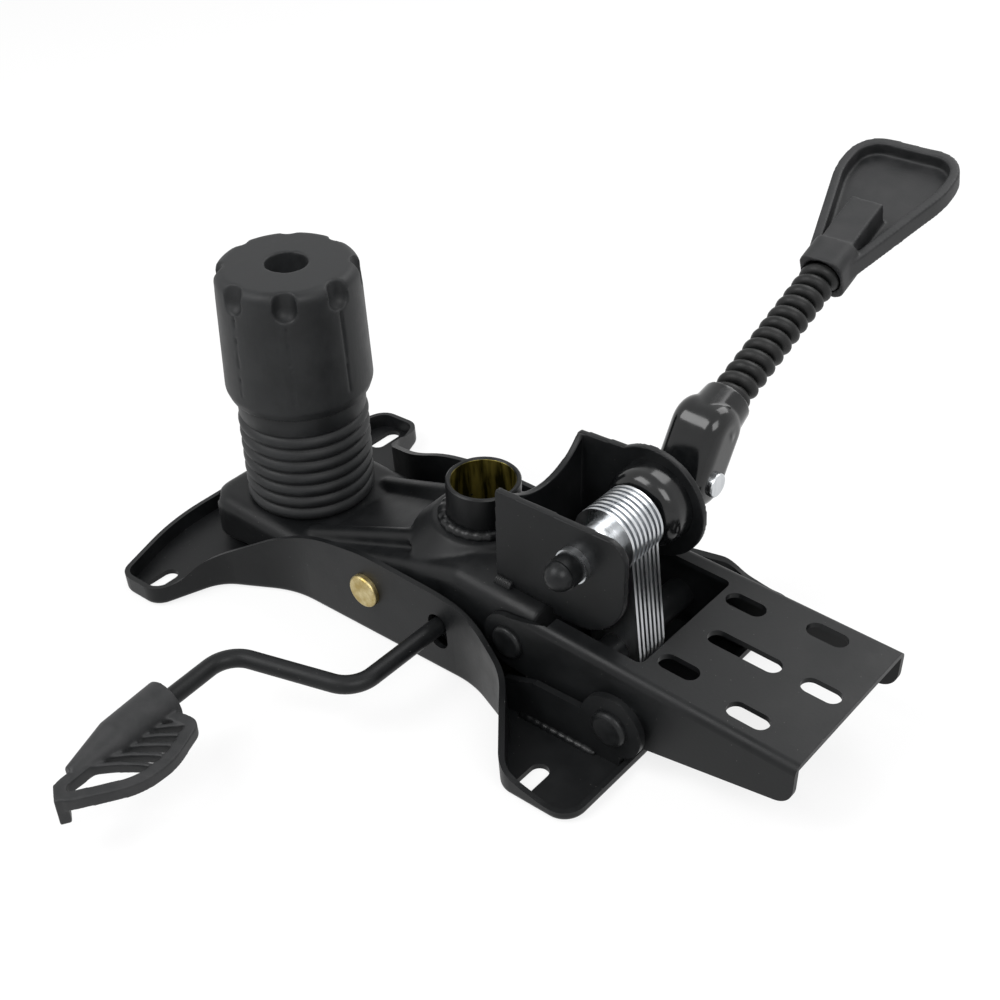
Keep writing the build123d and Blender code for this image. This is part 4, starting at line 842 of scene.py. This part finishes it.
@dataclass
class Hardware:
    """Pins, plates, spacers, nuts and bushes."""

    zinc: tuple[str, ...] = (
        "lock_strips", "fixed_discs", "strip_washers", "nut_washer", "ear_washers",
        "spring_cup", "spring_cap", "tension_bolt", "knob_nut", "cam_pin",
    )
    turned_zinc: tuple[str, ...] = ("near_spacer", "lock_shaft")
    painted: tuple[str, ...] = ("strip_pin", "strip_spacers")
    pale: tuple[str, ...] = ("tilt_axle",)
    black: tuple[str, ...] = ("ear_rivets", "link_rivets", "dome_nut")
    glossy: tuple[str, ...] = ("far_spacer", "cam_bush", "axle_bushes", "lever_bush")
    wire: tuple[str, ...] = ("tension_spring",)
    bore_mm: float = 14.28

    def build(self) -> None:
        """Gives each group its finish."""
        dress(BRIGHT_ZINC, *self.zinc)
        dress(TURNED_ZINC, *self.turned_zinc)
        dress(POWDER, *self.painted)
        dress(PALE_CHROMATE, *self.pale)
        dress(BLACK_OXIDE, *self.black)
        dress(ACETAL, *self.glossy)
        dress(SPRING_WIRE, *self.wire)
        self.tube()


    def tube(self) -> None:
        """Coats the gas tube, whose bore stays bare."""
        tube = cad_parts["gas_tube"]
        coat = painted_tube(self.bore_mm)
        if not tube.material_slots:
            tube.data.materials.append(coat)
        for held in tube.material_slots:
            held.material = coat
        LOG.info("gas_tube is %s", coat.name)


@dataclass
class Studio:
    """White floor, white surround and soft lamps."""

    floor_z: float = -0.2 * MM
    floor_size: float = 6.0
    floor_glow: float = 0.8
    world_strength: float = 0.55
    target: tuple[float, float, float] = (0.02, 0.0, 0.06)
    lamps: list[tuple[tuple[float, float, float], float, float]] = field(
        default_factory=lambda: [
            ((-0.5, -0.9, 1.3), 0.9, 16.0),
            ((1.1, -0.5, 1.1), 0.8, 11.0),
            ((0.2, 1.1, 1.2), 1.0, 12.0),
        ]
    )

    def seen(self, owner: bpy.types.Material | bpy.types.World) -> bpy.types.NodeSocket:
        """Returns 1 for rays from the camera, a mirror or through glass."""
        path = add_node(owner, "ShaderNodeLightPath")
        mirror = add_node(
            owner,
            "ShaderNodeMath",
            {"operation": "MAXIMUM"},
            {"0": path.outputs["Is Camera Ray"], "1": path.outputs["Is Glossy Ray"]},
        )
        glass = add_node(
            owner,
            "ShaderNodeMath",
            {"operation": "MAXIMUM"},
            {"0": mirror.outputs[0], "1": path.outputs["Is Transmission Ray"]},
        )
        return glass.outputs[0]

    def world(self) -> None:
        """Makes the surround: plain light, and white where it is seen."""
        world = bpy.data.worlds.new("white_surround")
        bpy.context.scene.world = world
        world.use_nodes = True
        world.node_tree.nodes.clear()
        lit = add_node(
            world,
            "ShaderNodeBackground",
            {"Color": linear("#FFFFFF"), "Strength": self.world_strength},
        )
        shown = add_node(
            world, "ShaderNodeBackground", {"Color": linear("#FFFFFF"), "Strength": 1.0}
        )
        mixed = add_node(
            world,
            "ShaderNodeMixShader",
            {},
            {
                "Fac": self.seen(world),
                "1": lit.outputs["Background"],
                "2": shown.outputs["Background"],
            },
        )
        add_node(world, "ShaderNodeOutputWorld", {}, {"Surface": mixed.outputs["Shader"]})

    def floor(self) -> None:
        """Adds the floor, nearly white with a faint shadow."""
        half = self.floor_size / 2
        corners = [
            Vector((x, y, self.floor_z))
            for x, y in ((-half, -half), (half, -half), (half, half), (-half, half))
        ]
        plane = add_mesh("studio_floor", corners, [(0, 1, 2, 3)], smooth=False)
        made = empty_material("white_floor")
        paint = add_node(made, "ShaderNodeBsdfDiffuse", {"Color": linear("#F4F4F4")})
        glow = add_node(
            made, "ShaderNodeEmission", {"Color": linear("#FFFFFF"), "Strength": 1.0}
        )
        share = add_node(
            made,
            "ShaderNodeMath",
            {"operation": "MULTIPLY"},
            {"0": self.seen(made)},
        )
        share.inputs[1].default_value = self.floor_glow
        mixed = add_node(
            made,
            "ShaderNodeMixShader",
            {},
            {"Fac": share.outputs[0], "1": paint.outputs["BSDF"], "2": glow.outputs[0]},
        )
        add_node(made, "ShaderNodeOutputMaterial", {}, {"Surface": mixed.outputs["Shader"]})
        plane.data.materials.append(made)

    def lights(self) -> None:
        """Adds the soft lamps, each turned to the object."""
        target = Vector(self.target)
        for number, (spot, size, power) in enumerate(self.lamps):
            lamp = bpy.data.lights.new(f"softbox_{number}", "AREA")
            lamp.energy = power
            lamp.size = size
            held = bpy.data.objects.new(lamp.name, lamp)
            bpy.context.scene.collection.objects.link(held)
            held.location = spot
            held.rotation_euler = (target - Vector(spot)).to_track_quat("-Z", "Y").to_euler()

    def build(self) -> None:
        """Builds the surround, floor and lamps."""
        self.world()
        self.floor()
        self.lights()


@dataclass
class PhotoCamera:
    """Camera at the photo's place, given in the tilt box's frame."""

    place_mm: tuple[float, float, float] = (333.2, -368.7, 361.3)
    yaw: float = math.radians(131.30)
    pitch: float = math.radians(36.92)
    roll: float = math.radians(-1.21)
    lens_mm: float = 51.6
    sensor_mm: float = 36.0

    def build(self) -> None:
        """Adds the camera and makes it the scene's own."""
        forward = Vector(
            (
                math.cos(self.yaw) * math.cos(self.pitch),
                math.sin(self.yaw) * math.cos(self.pitch),
                -math.sin(self.pitch),
            )
        )
        level = Vector((math.sin(self.yaw), -math.cos(self.yaw), 0.0))
        upright = level.cross(forward)
        right = level * math.cos(self.roll) + upright * math.sin(self.roll)
        up = upright * math.cos(self.roll) - level * math.sin(self.roll)
        leaned = Matrix((BOX_X, BOX_Y, BOX_Z)).transposed()
        turn = leaned @ Matrix((right, up, -forward)).transposed()
        data = bpy.data.cameras.new("photo_camera")
        data.lens = self.lens_mm
        data.sensor_width = self.sensor_mm
        data.clip_start = 0.01
        camera = bpy.data.objects.new("photo_camera", data)
        bpy.context.scene.collection.objects.link(camera)
        camera.matrix_world = Matrix.Translation(in_box(*self.place_mm)) @ turn.to_4x4()
        bpy.context.scene.camera = camera


def main() -> None:
    """Builds every sub-assembly, then the studio."""
    logging.basicConfig(level=logging.INFO, format="%(message)s")
    bpy.context.scene.view_settings.view_transform = "Standard"
    PhotoCamera().build()
    for assembly in (
        PressedSteel(),
        WeldBeads(),
        RibbedSleeve(),
        TensionKnob(),
        FlexibleArm(),
        GasLever(),
        Hardware(),
        Studio(),
    ):
        assembly.build()


if __name__ == "__main__":
    main()
